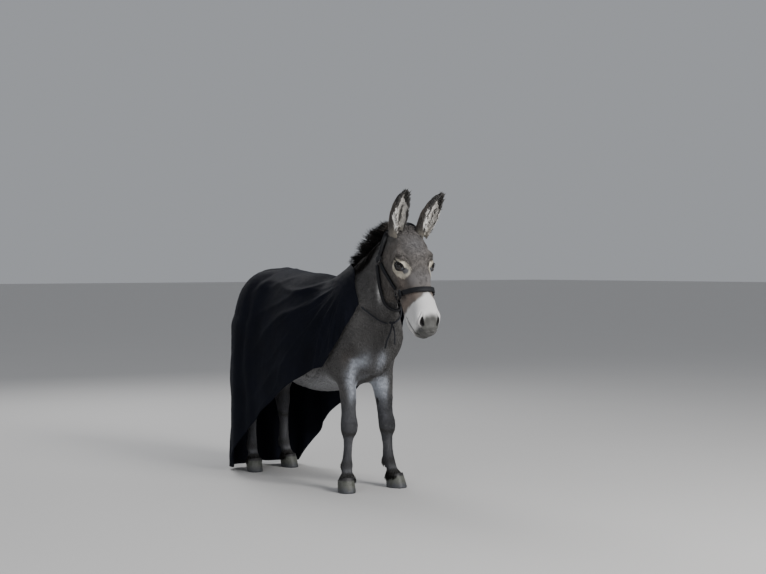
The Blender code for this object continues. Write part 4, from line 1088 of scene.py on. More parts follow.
def lid_edge(points, sign):
    """Angle from the edge of the opening between the lids (negative inside it), and the polar place."""
    centre, out, nasal, brow = EYES[sign]
    d = points - centre
    reach = np.maximum(np.linalg.norm(d, axis=1), 1e-6)
    ahead = d @ out / reach
    b, c = np.arcsin(np.clip(d @ nasal / reach, -1, 1)), np.arcsin(np.clip(d @ brow / reach, -1, 1))
    arch = 1 - (np.abs(b) / LID_HALF_LENGTH) ** 2.2
    # The inner corner is drawn out towards the muzzle and lies a little lower.
    c = c + 0.10 * b
    edge = np.maximum(c - LID_RISE * arch, -LID_DROP * arch - c)
    edge = np.maximum(edge, np.abs(b) - LID_HALF_LENGTH)
    return np.where(ahead > 0.1, edge, 2.0), reach, b, c


def lidded(points, sign):
    """Skin drawn over the eyeball: out of the way in the opening, a lid round it, then the face."""
    centre = EYES[sign][0]
    edge, reach, b, c = lid_edge(points, sign)
    inner, lid = EYE_RADIUS * 0.72, EYE_RADIUS + LID
    wrapped = inner + (lid - inner) * smoothstep(edge, -0.13, 0.05)
    wrapped = wrapped + 0.0014 * bell(edge - 0.12, 0.10) - 0.0014 * bell(edge - 0.33, 0.07)
    target = wrapped + (reach - wrapped) * smoothstep(edge, 0.26, 0.80)
    # The deep fold over the upper lid, and a fainter one under the lower.
    target = target - 0.0030 * bell(reach - 0.0395, 0.0028) * smoothstep(c, 0.25, 0.70)
    target = target + 0.0016 * bell(reach - 0.0345, 0.0030) * smoothstep(c, 0.25, 0.70)
    target = target - 0.0014 * bell(reach - 0.0370, 0.0026) * smoothstep(-c, 0.20, 0.60) * (b < 0.8)
    target = reach + (target - reach) * smoothstep(-reach, -0.056, -0.040)
    return centre + (points - centre) * (target / reach)[:, None]


# rises and hollows of the head: side, along, up; their radii along the same; and the height
HEAD_FORMS = mm(
    (52, 88, 0, 16, 22, 18, -4.5), (60, 118, -4, 12, 30, 12, 3), (62, 185, -74, 20, 42, 10, 3),
    (60, 185, -92, 20, 45, 8, -2), (50, 186, -46, 20, 24, 8, -3), (70, 105, -105, 20, 50, 45, 2.5),
    (50, 230, -55, 20, 60, 14, -2.2), (18, 200, 10, 10, 100, 20, 1), (0, 380, -115, 24, 20, 12, 3))
LEFT_WING, LEFT_BROW = 0.0080, 0.0065
NOSTRIL = np.array((0.0345, 0.3765, -0.0345))
NOSTRIL_RUN = unit((-0.09, 0.77, -0.63))
NOSTRIL_OUTER = unit(np.cross(NOSTRIL_RUN, (0.40, 0.66, 0.64)))
MOUTH_LINE = ([0.300, 0.330, 0.346, 0.364, 0.384, 0.410], [-0.113, -0.108, -0.105, -0.102, -0.101, -0.104])


def nostril_place(side, along, up):
    """How far a place is from the middle of the nostril, 1 at its edge, and how far on its outer side.

    The nostril is a comma: narrow where it starts on top of the nose and wide in front.
    """
    d = np.stack([np.abs(side) + 0.0060 * (side > 0), along, up], 1) - NOSTRIL
    run = d @ NOSTRIL_RUN / 0.0180
    outer = d @ NOSTRIL_OUTER / (0.0080 * (1 + 0.34 * np.clip(run, -1, 1))) + 0.30 * (run ** 2 - 0.4)
    return np.hypot(run, outer) + 9 * (np.linalg.norm(d, axis=1) > 0.036), outer


def head_relief(points):
    """How far the skin of the head stands out from its plain form at each point."""
    side, along, up = FACE.local(points)
    rise = np.zeros(len(points))
    # The head isn't quite even: the left wing of the nose is slimmer and the left brow fuller.
    rise -= LEFT_WING * bell(side - 0.046, 0.018) * bell(along - 0.374, 0.030) * bell(up + 0.040, 0.036)
    brow = bell(side - EYE_PLACE[0] + 0.006, 0.018) * bell(along - EYE_PLACE[1] - 0.036, 0.020)
    rise += LEFT_BROW * brow * bell(up - EYE_PLACE[2] - 0.012, 0.030)
    hole, outer = nostril_place(side, along, up)
    side = np.abs(side)
    for s, a, u, rs, ra, ru, height in HEAD_FORMS:
        rise += height * bell(side - s, rs) * bell(along - a, ra) * bell(up - u, ru)
    rise += -0.0135 * smoothstep(-hole, -1.02, -0.55) + 0.0005 * bell(hole - 1.5, 0.35)
    wing = 0.0018 * bell(hole - 1.38, 0.25) - 0.0020 * bell(hole - 2.25, 0.30)
    rise += wing * smoothstep(outer, -0.3, 0.8)
    over_mouth = up - np.interp(along, *MOUTH_LINE)
    mouth = bell(over_mouth, 0.0032) * smoothstep(along, 0.302, 0.320)
    lips = bell(np.abs(over_mouth) - 0.0085, 0.006) * smoothstep(along, 0.31, 0.34)
    rise += -0.0042 * mouth + 0.0009 * lips
    wrinkles = np.sin(along * 900 + side * 260) * bell(along - 0.385, 0.016) * smoothstep(-up, 0.05, 0.08)
    rise += 0.0004 * wrinkles
    rise += 0.0007 * ripple(points, 0.035, 5) * smoothstep(-along, -0.33, -0.20)
    return rise


def nearest_eye(points):
    """Distance from the middle of the nearer eyeball, and angle from its lids' edge."""
    away = [np.linalg.norm(points - EYES[sign][0], axis=1) for sign in EYES]
    return np.minimum(*away), np.minimum(*(lid_edge(points, sign)[0] for sign in EYES))


def near_head(points):
    side, along, up = FACE.local(points)
    return (along > -0.01) & (along < 0.46) & (up > -0.215) & (up < 0.12) & (np.abs(side) < 0.13)


def settled(points, rounds=2, most=0.003):
    """Points moved onto the skin's surface, by a little at a time."""
    for _ in range(rounds):
        points = points - gradient(hide, points, 0.0015) * np.clip(hide(points), -most, most)[:, None]
    return points


EAR_STEPS, EAR_ACROSS, EAR_THICKNESS = 44, 30, 0.0034


def ear_leaf(side):
    """A finely shaped ear: a thin rolled leaf with a turned rim, its root inside the head."""
    leaf = EARS[side]
    rings = []
    for i in range(EAR_STEPS + 1):
        t = 1 - (1 - i / EAR_STEPS) ** 1.25
        radius, half_angle = smooth_roll(leaf, t)
        angles = np.linspace(-half_angle, half_angle, EAR_ACROSS + 1)
        edge = np.abs(angles) / half_angle
        curl = 1 - 0.10 * smoothstep(edge, 0.80, 1.0) * smoothstep(-abs(t - 0.5), -0.5, -0.2)
        ridge = 0.0012 * np.cos(angles * 5.0) * bell(t - 0.35, 0.3)
        thick = EAR_THICKNESS * (1 - 0.35 * smoothstep(edge, 0.6, 1.0))
        outer = [leaf.place(t, a, radius * c + h / 2) for a, c, h in zip(angles, curl, thick)]
        inner = [leaf.place(t, a, max(0.0006, radius * c - h / 2 - r))
                 for a, c, h, r in zip(angles, curl, thick, ridge)][::-1]
        rings.append(outer + inner)
    return ring_stack("ear_leaf_" + side, rings, None, folded=True)


def smooth_roll(leaf, t):
    """The ear's radius and half angle at a share of its length, without corners between its stations."""
    shares = np.clip(t + np.linspace(-0.06, 0.06, 7), 0, 1)
    radius, half_angle = (np.mean(v) for v in zip(*[leaf.roll(s) for s in shares]))
    return (leaf.roll(t)[0] if t > 0.93 else radius), half_angle


def subdivided(obj, chosen):
    """Splits the faces whose middles are chosen once, keeping the mesh closed."""
    def work(bm):
        picked = chosen(np.array([f.calc_center_median() for f in bm.faces]) + CENTRE)
        edges = dict.fromkeys(e for f, p in zip(bm.faces, picked) if p for e in f.edges)
        bmesh.ops.subdivide_edges(bm, edges=list(edges), cuts=1, use_grid_fill=True)
    return reworked(obj, work)


def moved(obj, points):
    obj.data.vertices.foreach_set("co", placed(points).astype(np.float32).ravel())
    obj.data.update()
    return obj


def plain_skin():
    """The skin as a closed mesh without ears."""
    for cell in BODY_CELLS:
        vertices, quads = surface(hide, (-0.24, -0.52, -0.02), (0.24, 0.82, 1.10), cell)
        edges = np.sort(np.stack([quads, np.roll(quads, -1, 1)], -1).reshape(-1, 2), axis=1)
        shared = np.unique(edges, axis=0, return_counts=True)[1]
        if shared.max() == 2:
            break
    return outward(mesh_object("skin", settled(vertices), quads))


def eyes_and_nose(points):
    """The faces round the eyes and on the muzzle, which are split a second time."""
    _, along, up = FACE.local(points)
    return near_head(points) & ((nearest_eye(points)[0] < 0.046) | ((along > 0.325) & (up > -0.135)))


def lids_and_nostrils(points):
    """The faces of the lids and round the nostrils, which are split a third time."""
    away, edge = nearest_eye(points)
    place = FACE.local(points)
    lids = (away < 0.030) & (edge < 0.5) & (edge > -0.35)
    return near_head(points) & (lids | ((nostril_place(*place)[0] < 1.9) & (place[1] > 0.34)))


def skin_object():
    """One closed skin: the body and head, with the ears joined on and the face worked out finely."""
    skin = plain_skin()
    for side in EARS:
        leaf = ear_leaf(side)
        modified(skin, "BOOLEAN", operation="UNION", solver="EXACT", object=leaf)
        bpy.data.objects.remove(leaf, do_unlink=True)
    whole(skin)
    for chosen in (near_head, eyes_and_nose, lids_and_nostrils):
        subdivided(skin, chosen)
    points = points_of(skin)
    low = (np.abs(hide(points)) < 0.0045) & (ear_share(points) < 0.5)
    points[low] = settled(points[low])
    head = near_head(points) & low
    points[head] += gradient(hide, points[head]) * head_relief(points[head])[:, None]
    for sign in (-1, 1):
        turn = head & (np.sign(FACE.local(points)[0]) == sign)
        points[turn] = lidded(points[turn], sign)
    return moved(skin, points)


def whole(obj):
    """An object's largest connected body, its doubles merged."""
    def work(bm):
        bmesh.ops.remove_doubles(bm, verts=bm.verts, dist=1e-5)
        seen, bodies = set(), []
        for start in bm.verts:
            if start in seen:
                continue
            body, stack = [], [start]
            seen.add(start)
            while stack:
                v = stack.pop()
                body.append(v)
                fresh = [other for other in (e.other_vert(v) for e in v.link_edges) if other not in seen]
                seen.update(fresh)
                stack.extend(fresh)
            bodies.append(body)
        for body in sorted(bodies, key=len)[:-1]:
            bmesh.ops.delete(bm, geom=body, context="VERTS")
    return reworked(obj, work)


# ---------------------------------------------------------------- markings and painted light

MOUSE_GREY = np.array((0.092, 0.088, 0.086))
WARM_GREY = np.array((0.128, 0.110, 0.096))
COOL_GREY = np.array((0.135, 0.130, 0.134))
PALE_GREY = np.array((0.335, 0.340, 0.355))
WHITE_HAIR = np.array((0.72, 0.71, 0.70))
CREAM = np.array((0.62, 0.57, 0.47))
TAN = np.array((0.235, 0.178, 0.145))
DARK_BROWN = np.array((0.018, 0.015, 0.014))
LEG_GREY = np.array((0.060, 0.062, 0.074))
BLUE_PALE = np.array((0.56, 0.60, 0.68))
NOSE_SKIN = np.array((0.070, 0.070, 0.064))
# pale hair of the forearms, and a painted sheen on the breast's muscles: across and up, their radii, and how
# pale
PALE_HAIR_AND_SHEEN_SPOTS = [((-0.087, 0.500), (0.021, 0.036), 0.80), ((-0.022, 0.508), (0.020, 0.032), 0.60),
              ((-0.093, 0.440), (0.019, 0.040), 0.95), ((-0.082, 0.378), (0.013, 0.050), 0.80),
              ((0.045, 0.392), (0.019, 0.050), 0.75), ((-0.042, 0.440), (0.020, 0.018), 0.28)]
CHESTNUTS = (((0.084, -0.012, 0.341), (-1, 0, 0)), ((-0.062, 0.020, 0.341), (1, 0, 0)))

LID_BLACK = (0.009, 0.008, 0.009)
# angle of the groove inside each ear, where its shade is painted dark
EAR_SLIT = {"left": 1.22, "right": 0.88}


def shaded_ear_groove(name, t, angle):
    """1 along the groove inside an ear, where its shade is painted dark, from near its root to past the
    middle.
    """
    groove = bell(angle - EAR_SLIT[name] - 0.08 * np.sin(9 * t), 0.20)
    return groove * smoothstep(t, 0.10, 0.20) * smoothstep(-t, -0.68, -0.56)


def crest_line(y, count):
    """Places and outward directions along the crest, read between count places of the flesh."""
    stations = np.linspace(MANE_FRONT - 0.03, MANE_BACK + 0.028, count)
    places, outs = np.array([crest(s) for s in stations]).transpose(1, 0, 2)
    return rows_at(y, stations, places), unit_rows(rows_at(y, stations, outs))


def crest_distance(points):
    """How far each point is from the top line of the neck."""
    return np.linalg.norm(points - crest_line(points[:, 1], 12)[0], axis=1)


def ear_place(points, leaf):
    """Share of the ear's length, angle round its roll, half the roll's angle, distance inwards."""
    s, a, u = leaf.frame.local(points)
    t = a / EAR_LENGTH
    radius, half = leaf.roll(t)
    return t, np.arctan2(s, -u), half, radius - np.hypot(s, u)


def on_leaf(place, depth=0.009, root=-0.05):
    """True on an ear's leaf, for what ear_place says of each point."""
    t, angle, half, inwards = place
    return (np.abs(inwards) < depth) & (np.abs(angle) < half + 0.35) & (t > root) & (t < 1.06)


def ear_share(points):
    """1 on an ear and 0 on the head."""
    share = np.zeros(len(points))
    value = hide(points)
    for leaf in EARS.values():
        on = on_leaf(ear_place(points, leaf), 0.008)
        share = np.maximum(share, on * smoothstep(value, 0.0015, 0.006))
    return share


def markings_and_painted_light(points, normals):
    """The hide's colour at each point, from the forms that it lies on, with painted light and shade in
    places.
    """
    x, y, z = points.T
    nx, ny, nz = normals.T
    side, along, up = FACE.local(points)
    across = np.abs(side)
    patch = ripple(points, 0.09, 3)
    fine = ripple(points, 0.022, 4)
    colour = np.tile(MOUSE_GREY, (len(points), 1)) * (1 + 0.10 * patch + 0.06 * fine)[:, None]

    def paint(share, tone):
        share = np.clip(share, 0, 1)[:, None]
        colour[:] = colour * (1 - share) + np.asarray(tone) * share

    body = smoothstep(z, 0.30, 0.40) * smoothstep(-z, -0.75, -0.55)
    paint(0.75 * smoothstep(-nz, 0.25, 0.85) * body * smoothstep(y, -0.02, 0.10), PALE_GREY * 1.2)
    # the breast: painted shade on its left side and on the throat's left side, pale hair down each forearm
    # with a painted sheen on the breast's muscles, brown at the shoulder's point
    front, fore = smoothstep(-y, 0.00, 0.05), y < 0.3
    low = smoothstep(-z, -0.62, -0.54) * smoothstep(z, 0.36, 0.42)
    # painted shade: the breast darker where it faces the donkey's left
    paint(0.45 * front * low * smoothstep(nx, -0.35, 0.45), MOUSE_GREY * 0.45)
    # painted shadow on the left side of the throat, under the head
    throat = smoothstep(z, 0.56, 0.60) * smoothstep(-z, -0.84, -0.76) * (along < 0.0) * (y < 0.0)
    paint(0.60 * smoothstep(nx, -0.15, 0.50) * throat, MOUSE_GREY * 0.35)
    # pale hair on the forearms and a painted sheen on the breast's muscles
    for (px, pz), (wide, high), share in PALE_HAIR_AND_SHEEN_SPOTS:
        spot = bell(x - px, wide) * bell(z - pz, high) * smoothstep(-y, 0.0, 0.03)
        paint(share * (1 + 0.10 * fine) * spot, BLUE_PALE)
    paint(0.60 * bell(x + 0.126, 0.022) * bell(z - 0.512, 0.040) * front, TAN * 0.30)
    # the legs: pale on their inner faces above the knee, grey outside, with painted shade on the left foreleg
    # below the knee
    facing = -nx * np.sign(x)
    inner = smoothstep(facing, 0.10, 0.65) * smoothstep(-z, -0.46, -0.40) * smoothstep(z, 0.300, 0.390)
    paint(0.80 * inner * fore, BLUE_PALE * 0.85)
    left_fore = (x > 0) * fore
    paint(0.55 * smoothstep(facing, 0.2, 0.8) * bell(z - 0.315, 0.035) * left_fore, BLUE_PALE * 0.5)
    lower = smoothstep(-z, -0.400, -0.285)
    paint(0.80 * lower, LEG_GREY * (1 + 0.15 * fine)[:, None])
    # painted shade: the left foreleg darker below the knee, most of all on its outer face
    paint(0.45 * lower * left_fore, LEG_GREY * 0.5)
    outer = smoothstep(nx, -0.65, 0.00) * smoothstep(-z, -0.385, -0.335) * left_fore
    paint(0.75 * outer, LEG_GREY * 0.40)
    paint(0.90 * bell(z - (0.228 + 0.008 * ny), 0.0070), DARK_BROWN * 1.2)
    paint(0.30 * bell(z - 0.165, 0.040) * smoothstep(facing - 0.5 * ny, 0.1, 0.8), PALE_GREY * 0.6)
    behind = smoothstep(ny, -0.1, 0.6)
    paint(0.92 * bell(z - 0.105, 0.016) * (0.65 + 0.35 * behind), DARK_BROWN)
    paint(0.40 * bell(z - 0.083, 0.006) * smoothstep(-ny, 0.0, 0.6), PALE_GREY * 0.6)
    paint(0.97 * smoothstep(-z, -0.078, -0.070), DARK_BROWN * 0.45)
    for place, side_out in CHESTNUTS:
        spot = np.hypot(y - place[1], (z - place[2]) / 1.9)
        inner = (normals @ np.array(side_out) > 0.25) * (np.sign(x) == np.sign(place[0]))
        paint(smoothstep(-spot, -0.0095, -0.0065) * inner, (0.010, 0.009, 0.009))
    # dorsal stripe and shoulder cross, and the roots of the mane
    paint(0.85 * bell(x, 0.011) * smoothstep(nz, 0.4, 0.8) * (y > -0.03) * (z > 0.5), DARK_BROWN)
    cross = bell(y - (0.085 - 0.02 * fine), 0.012) * smoothstep(z, 0.66, 0.74) * (y < 0.2)
    paint(0.75 * cross, DARK_BROWN)
    paint(0.9 * smoothstep(-TAIL(points), -0.004, 0.004) * smoothstep(y, 0.69, 0.72), DARK_BROWN * 1.3)
    reach = 0.016 + 0.012 * (x < 0) + 0.030 * (x < 0) * smoothstep(y, -0.20, -0.06)
    roots = smoothstep(-crest_distance(points), -reach - 0.012, -reach + 0.004)
    paint(0.93 * roots * (y < 0.03) * smoothstep(-along, 0.030, 0.055), DARK_BROWN * 0.7)

    # the head
    on_head = (along > -0.02) & (up > -0.215) & (across < 0.13) & (y < -0.15)
    paint(0.75 * on_head * smoothstep(along, 0.0, 0.06), WARM_GREY * (1.08 + 0.08 * fine)[:, None])
    paint(0.80 * on_head * bell(along - 0.075, 0.055) * bell(across, 0.055) * smoothstep(up, -0.03, 0.0),
          COOL_GREY * (1.15 + 0.12 * fine)[:, None])
    paint(0.60 * on_head * bell(along - 0.205, 0.045) * smoothstep(up, -0.05, -0.02), COOL_GREY * 1.05)
    cheek = bell(across - 0.05, 0.03) * bell(along - 0.19, 0.03) * bell(up + 0.075, 0.03)
    paint(0.50 * on_head * cheek, TAN * 0.8)
    # painted shade low on the back of the head, under the jaw
    paint(0.40 * on_head * bell(up + 0.15, 0.05) * smoothstep(-along, -0.22, -0.12), MOUSE_GREY * 0.8)
    # a pale streak behind the jaw
    over = -0.664 * (along - 0.140) - 0.748 * (up + 0.190) - 0.011
    run = 0.748 * (along - 0.140) - 0.664 * (up + 0.190)
    paint(0.97 * bell(over, 0.0065) * bell(run, 0.035) * (across > 0.04) * (y < -0.1), WHITE_HAIR)
    edge = 0.271 + 0.013 * smoothstep(across, 0.004, 0.032) + 0.004 * bell(up + 0.035, 0.012)
    edge = edge + 0.007 * ripple(points, 0.045, 8) + 0.0025 * fine
    paint(0.70 * on_head * bell(along - 0.262, 0.026) * smoothstep(-up, 0.012, 0.030), TAN)
    white = smoothstep(along, edge - 0.006, edge + 0.008) * on_head
    paint(0.97 * white, WHITE_HAIR)
    # grey skin shows through between and below the nostrils, and round the lips
    mouth = up - np.interp(along, *MOUTH_LINE)
    start = 0.353 + 0.026 * smoothstep(across, 0.016, 0.042) - 0.004 * smoothstep(-up, 0.05, 0.09)
    nose = smoothstep(along + 0.003 * fine, start - 0.012, start + 0.020)
    lip_side = smoothstep(-along, -0.392, -0.372) * smoothstep(-mouth, 0.004, 0.008)
    paint(0.97 * on_head * nose * (1 - lip_side) * (0.97 + 0.03 * fine), NOSE_SKIN * 0.62)
    paint(0.45 * on_head * smoothstep(-mouth, 0.014, 0.026) * (along > 0.29), NOSE_SKIN * 2.2)
    hole, outer = nostril_place(side, along, up)
    paint(on_head * 0.70 * smoothstep(-hole, -1.9, -1.1) * smoothstep(-outer, -0.6, 0.5), NOSE_SKIN * 1.2)
    paint(on_head * 0.35 * bell(hole - 2.25, 0.22) * smoothstep(outer, 0.0, 0.8), PALE_GREY * 0.6)
    # painted shade: the nostril's opening near black
    paint(on_head * smoothstep(-hole, -1.12, -0.88), (0.006, 0.005, 0.006))
    paint(on_head * 0.35 * bell(mouth, 0.007) * smoothstep(along, 0.305, 0.335), NOSE_SKIN * 1.6)
    # painted shade along the crease between the lips
    paint(on_head * 0.9 * bell(mouth, 0.0024) * smoothstep(along, 0.296, 0.310), (0.012, 0.010, 0.010))
    for sign in (-1, 1):
        centre, out, nasal, brow = EYES[sign]
        edge, reach, _, c = lid_edge(points, sign)
        d = points - centre
        near = (reach < 0.080) & on_head & (d @ out > -0.015)
        run, lift = d @ nasal, d @ brow
        # The pale ring of the left eye runs on down the cheek.
        tall = np.where(lift > -0.005, 0.0300, 0.0335 + 0.012 * (sign > 0))
        wide = np.where(run > 0.001, 0.0485, 0.0440)
        ring = np.hypot((run - 0.001) / wide, (lift + 0.005 + 0.08 * run) / tall)
        ball = np.hypot((run + 0.006) / np.where(run > -0.006, 0.0250, 0.0290),
                        (lift - 0.001) / np.where(lift > 0.001, 0.0165, 0.0150))
        corner = np.hypot((run - 0.0255) / 0.0160, (lift + 0.0085) / 0.0115)
        paint(0.40 * near * smoothstep(-ring, -1.35, -1.0), WARM_GREY * 0.70)
        paint(0.92 * near * smoothstep(-ring + 0.06 * fine, -1.05, -0.93), CREAM)
        # painted shade in the fold over the upper lid
        paint(0.70 * near * bell(reach - 0.0400, 0.0026) * smoothstep(c, 0.25, 0.7), WARM_GREY * 0.35)
        paint(0.92 * near * smoothstep(-corner, -1.10, -0.88), (0.085, 0.089, 0.104))
        paint(0.97 * near * smoothstep(-ball, -1.10, -0.96), LID_BLACK)
        paint(0.97 * near * smoothstep(-ball, -1.30, -1.15) * smoothstep(-edge, -0.22, -0.12), LID_BLACK)

    # the ears
    for name, leaf in EARS.items():
        place = t, angle, half, inwards = ear_place(points, leaf)
        on = on_leaf(place) & (flesh(points) > -0.002)
        inside = on & (inwards > 0)
        outside = on & (inwards <= 0)
        wide = np.abs(angle) / half
        paint(0.85 * outside, WARM_GREY * 0.55)
        paint(0.95 * outside * smoothstep(t, 0.60, 0.85), DARK_BROWN * 1.5)
        paint(0.60 * outside * bell(angle + 0.85, 0.35) * bell(t - 0.38, 0.30), TAN * 0.75)
        root = smoothstep(-angle, 1.1, 1.6) * smoothstep(-t, -0.22, -0.08)
        paint(0.60 * on * root * (1 + 0.25 * fine), CREAM * 0.45)
        lining = (WHITE_HAIR * 0.95 + CREAM * 0.25) * (1 + 0.06 * fine)[:, None]
        paint(0.98 * inside * smoothstep(t, 0.01, 0.06), lining)
        paint(0.50 * inside * smoothstep(-t, -0.20, -0.05), CREAM * 0.9)
        # painted shadow down the groove between the ear's hair folds
        paint(0.96 * inside * shaded_ear_groove(name, t, angle), DARK_BROWN * 0.8)
        # dark edges that meet in a dark point
        wide = wide + 0.17 * (angle > 0) * smoothstep(-t, -0.60, -0.45) * (name == "right")
        tip = smoothstep(t, 0.55, 0.86)
        rim = smoothstep(wide, 0.93 - 0.75 * tip, 1.0 - 0.70 * tip) * smoothstep(t, 0.02, 0.15)
        paint(0.95 * on * np.maximum(rim, smoothstep(t, 0.80, 0.86)), DARK_BROWN * 0.9)
    return np.clip(colour, 0.002, 0.9)


# ---------------------------------------------------------------- hair

class Hide:
    """The skin as triangles to root hair on: places, normals, and the place on the skin's unwrap."""

    def __init__(self, skin):
        mesh = skin.data
        mesh.calc_loop_triangles()
        count = len(mesh.loop_triangles)
        corners, loops = np.empty(count * 3, np.int32), np.empty(count * 3, np.int32)
        mesh.loop_triangles.foreach_get("vertices", corners)
        mesh.loop_triangles.foreach_get("loops", loops)
        self.corners, loops = corners.reshape(-1, 3), loops.reshape(-1, 3)
        self.points, self.normals = points_of(skin), normals_of(skin)
        uv = np.empty(len(mesh.loops) * 2, np.float32)
        mesh.uv_layers["OFBake"].data.foreach_get("uv", uv)
        self.uv = uv.reshape(-1, 2)[loops]
        a, b, c = (self.points[self.corners[:, i]] for i in range(3))
        self.areas = np.linalg.norm(np.cross(b - a, c - a), axis=1) / 2
        self.middles = (a + b + c) / 3
        self.tree = BVHTree.FromPolygons(self.points.tolist(), self.corners.tolist())

    def roots(self, count, density, seed):
        """Random places: their points, normals and unwrapped places, thickest where density is high."""
        rng = np.random.default_rng(seed)
        share = np.cumsum(self.areas * density(self.middles))
        steps = (np.arange(count) + rng.random(count)) / count * share[-1]
        face = np.minimum(np.searchsorted(share, steps), len(share) - 1)
        r = np.sqrt(rng.random(count))
        s = rng.random(count)
        bary = np.stack([1 - r, r * (1 - s), r * s], 1)[:, :, None]
        corners = self.corners[face]
        out = unit_rows((self.normals[corners] * bary).sum(1))
        return (self.points[corners] * bary).sum(1), out, (self.uv[face] * bary).sum(1)

    def nearest_uv(self, points):
        """The place on the unwrap of the skin nearest each point."""
        out = np.empty((len(points), 2))
        for i, p in enumerate(points):
            face = self.tree.find_nearest(Vector(p))[2]
            out[i] = self.uv[face].mean(0)
        return out


UV_PATCH = 0.003


TUFT_THICKNESS = 0.35


def hair_piece(name, finish, slot, roots, normals, lies, lengths, widths, lift, bend, colours, uv, own,
               rings=2, nodes=()):
    """Many closed three-sided tufts: each leaves its root at lift above its lie, and bends over to the lie.

    lift and bend are in radians: the angle to the skin at the root, and how far it has turned by the tip.
    """
    count, per = len(roots), 3 * rings + 1
    across = unit_rows(np.cross(lies, normals))
    stations = np.linspace(0, 1, rings + 1)
    places, ups = [], []
    position = roots - normals * np.minimum(0.0012, lengths * 0.08)[:, None]
    for k, share in enumerate(stations):
        angle = lift - bend * share
        direction = lies * np.cos(angle)[:, None] + normals * np.sin(angle)[:, None]
        up = normals * np.cos(angle)[:, None] - lies * np.sin(angle)[:, None]
        if k:
            position = position + direction * (lengths * (stations[k] - stations[k - 1]))[:, None]
        places.append(position)
        ups.append(up)
    vertices = np.empty((count, per, 3))
    for k in range(rings):
        taper = 0.62 * ((k - 0.6) / (rings - 1)) ** 2 if rings > 2 else 0.0
        wide = widths * (1.0 - taper if k else 0.80)
        for j, (a, h) in enumerate(((-0.5, 0.0), (0.5, 0.0), (0.0, TUFT_THICKNESS))):
            vertices[:, 3 * k + j] = places[k] + across * (a * wide)[:, None] + ups[k] * (h * wide)[:, None]
    vertices[:, -1] = places[-1]
    base = (np.arange(count) * per)[:, None]
    quads = [np.array([3 * k + j, 3 * k + (j + 1) % 3, 3 * k + 3 + (j + 1) % 3, 3 * k + 3 + j])
             for k in range(rings - 1) for j in range(3)]
    last = 3 * (rings - 1)
    tris = [np.array([last + j, last + (j + 1) % 3, 3 * rings]) for j in range(3)] + [np.array([2, 1, 0])]
    faces = [np.concatenate([base + corners for corners in kind]) for kind in (quads, tris)]
    obj = mesh_object(name, vertices.reshape(-1, 3), faces, finish)
    tips = np.tile(np.concatenate([np.repeat(stations[:-1], 3), [1.0]]), count)
    # Dark hair gets painted shade towards its root; pale hair keeps its colour down to the skin.
    depth = 0.36 * smoothstep(-np.repeat(colours.max(1), per), -0.42, -0.12)
    point_colours(obj, "hide", np.repeat(colours, per, axis=0) * (1 - depth * (1 - tips))[:, None])
    point_values(obj, "own", np.repeat(own, per))
    turn = np.linspace(0, 2 * math.pi, per, endpoint=False)
    patch = np.stack([np.cos(turn), np.sin(turn)], 1) * UV_PATCH / 2
    corner_uv(obj, "OFBake", (np.repeat(uv, per, axis=0).reshape(count, per, 2) + patch).reshape(-1, 2))
    return belongs(obj, slot, *nodes)


def turned_lie(lies, normals, angle):
    """Directions in the skin turned about its normal."""
    across = np.cross(normals, lies)
    return lies * np.cos(angle)[:, None] + across * np.sin(angle)[:, None]


def lie_of_coat(points, normals):
    """The direction in which the hair lies at each point."""
    x, y, z = points.T
    side, along, up = FACE.local(points)
    flow = np.tile((0, 0.75, -0.66), (len(points), 1))

    def turn(share, direction):
        flow[:] = flow * (1 - share)[:, None] + np.asarray(direction) * share[:, None]

    turn(smoothstep(-z, -0.56, -0.40), (0, 0.05, -1.0))
    chest = smoothstep(-y, -0.02, 0.08) * smoothstep(-z, -0.80, -0.62)
    turn(chest, np.stack([0.5 * x, 0.15 + 0 * x, -1 + 0 * x], 1))
    belly = smoothstep(-normals[:, 2], 0.3, 0.8) * smoothstep(y, 0.05, 0.15) * smoothstep(z, 0.3, 0.36)
    turn(belly, (0, 1.0, -0.1))
    neck = smoothstep(z, 0.66, 0.80) * smoothstep(-y, -0.10, 0.02)
    turn(neck, -NECK_FRAME.along * 0.6 + np.array([0, 0.1, -0.75]))
    on_face = FACE.along + np.outer(np.sign(side) * smoothstep(-up, 0.03, 0.09), FACE.side) * 0.2
    on_face = on_face - np.outer(smoothstep(-up, 0.05, 0.12), FACE.up) * 0.35
    turn(smoothstep(along, 0.0, 0.05) * smoothstep(up, -0.22, -0.18) * (y < -0.14), on_face)
    for leaf in EARS.values():
        flow[on_leaf(ear_place(points, leaf), root=0.0)] = leaf.frame.along
    return unit_rows(flow - normals * (flow * normals).sum(1)[:, None] + 1e-6)


def under_cape(points):
    """1 where the cape hides the coat."""
    y, z = points.T[1:]
    front = z > np.interp(y, *LOWER_LINE.T)
    collar = y > np.interp(z, *COLLAR_LINE.T[::-1]) + 0.012
    behind = (y > 0.56) & (z > 0.10)
    return (front & collar & (y > -0.095)) | behind


def tufts(name, hide_mesh, finish, count, density, length, width, lift, seed):
    """A piece of coat: tufts rooted in the skin along the lie of the hair."""
    roots, normals, uv = hide_mesh.roots(count, density, seed)
    rng = np.random.default_rng(seed + 100)
    sway = 0.30 * ripple(roots, 0.045, seed) + rng.normal(0, 0.22, count)
    lies = turned_lie(lie_of_coat(roots, normals), normals, sway)
    lengths = length(roots, normals) * rng.uniform(0.72, 1.2, count)
    lifts = lift * (1 + 0.25 * ripple(roots, 0.020, seed + 7)) * rng.uniform(0.8, 1.3, count)
    widths = lengths * width * rng.uniform(0.75, 1.25, count)
    colours = markings_and_painted_light(roots, normals) * rng.uniform(0.86, 1.16, count)[:, None]
    return hair_piece(name, finish, "coat", roots, normals, lies, lengths, widths, lifts, lifts * 0.80,
                      colours, uv, rng.random(count))


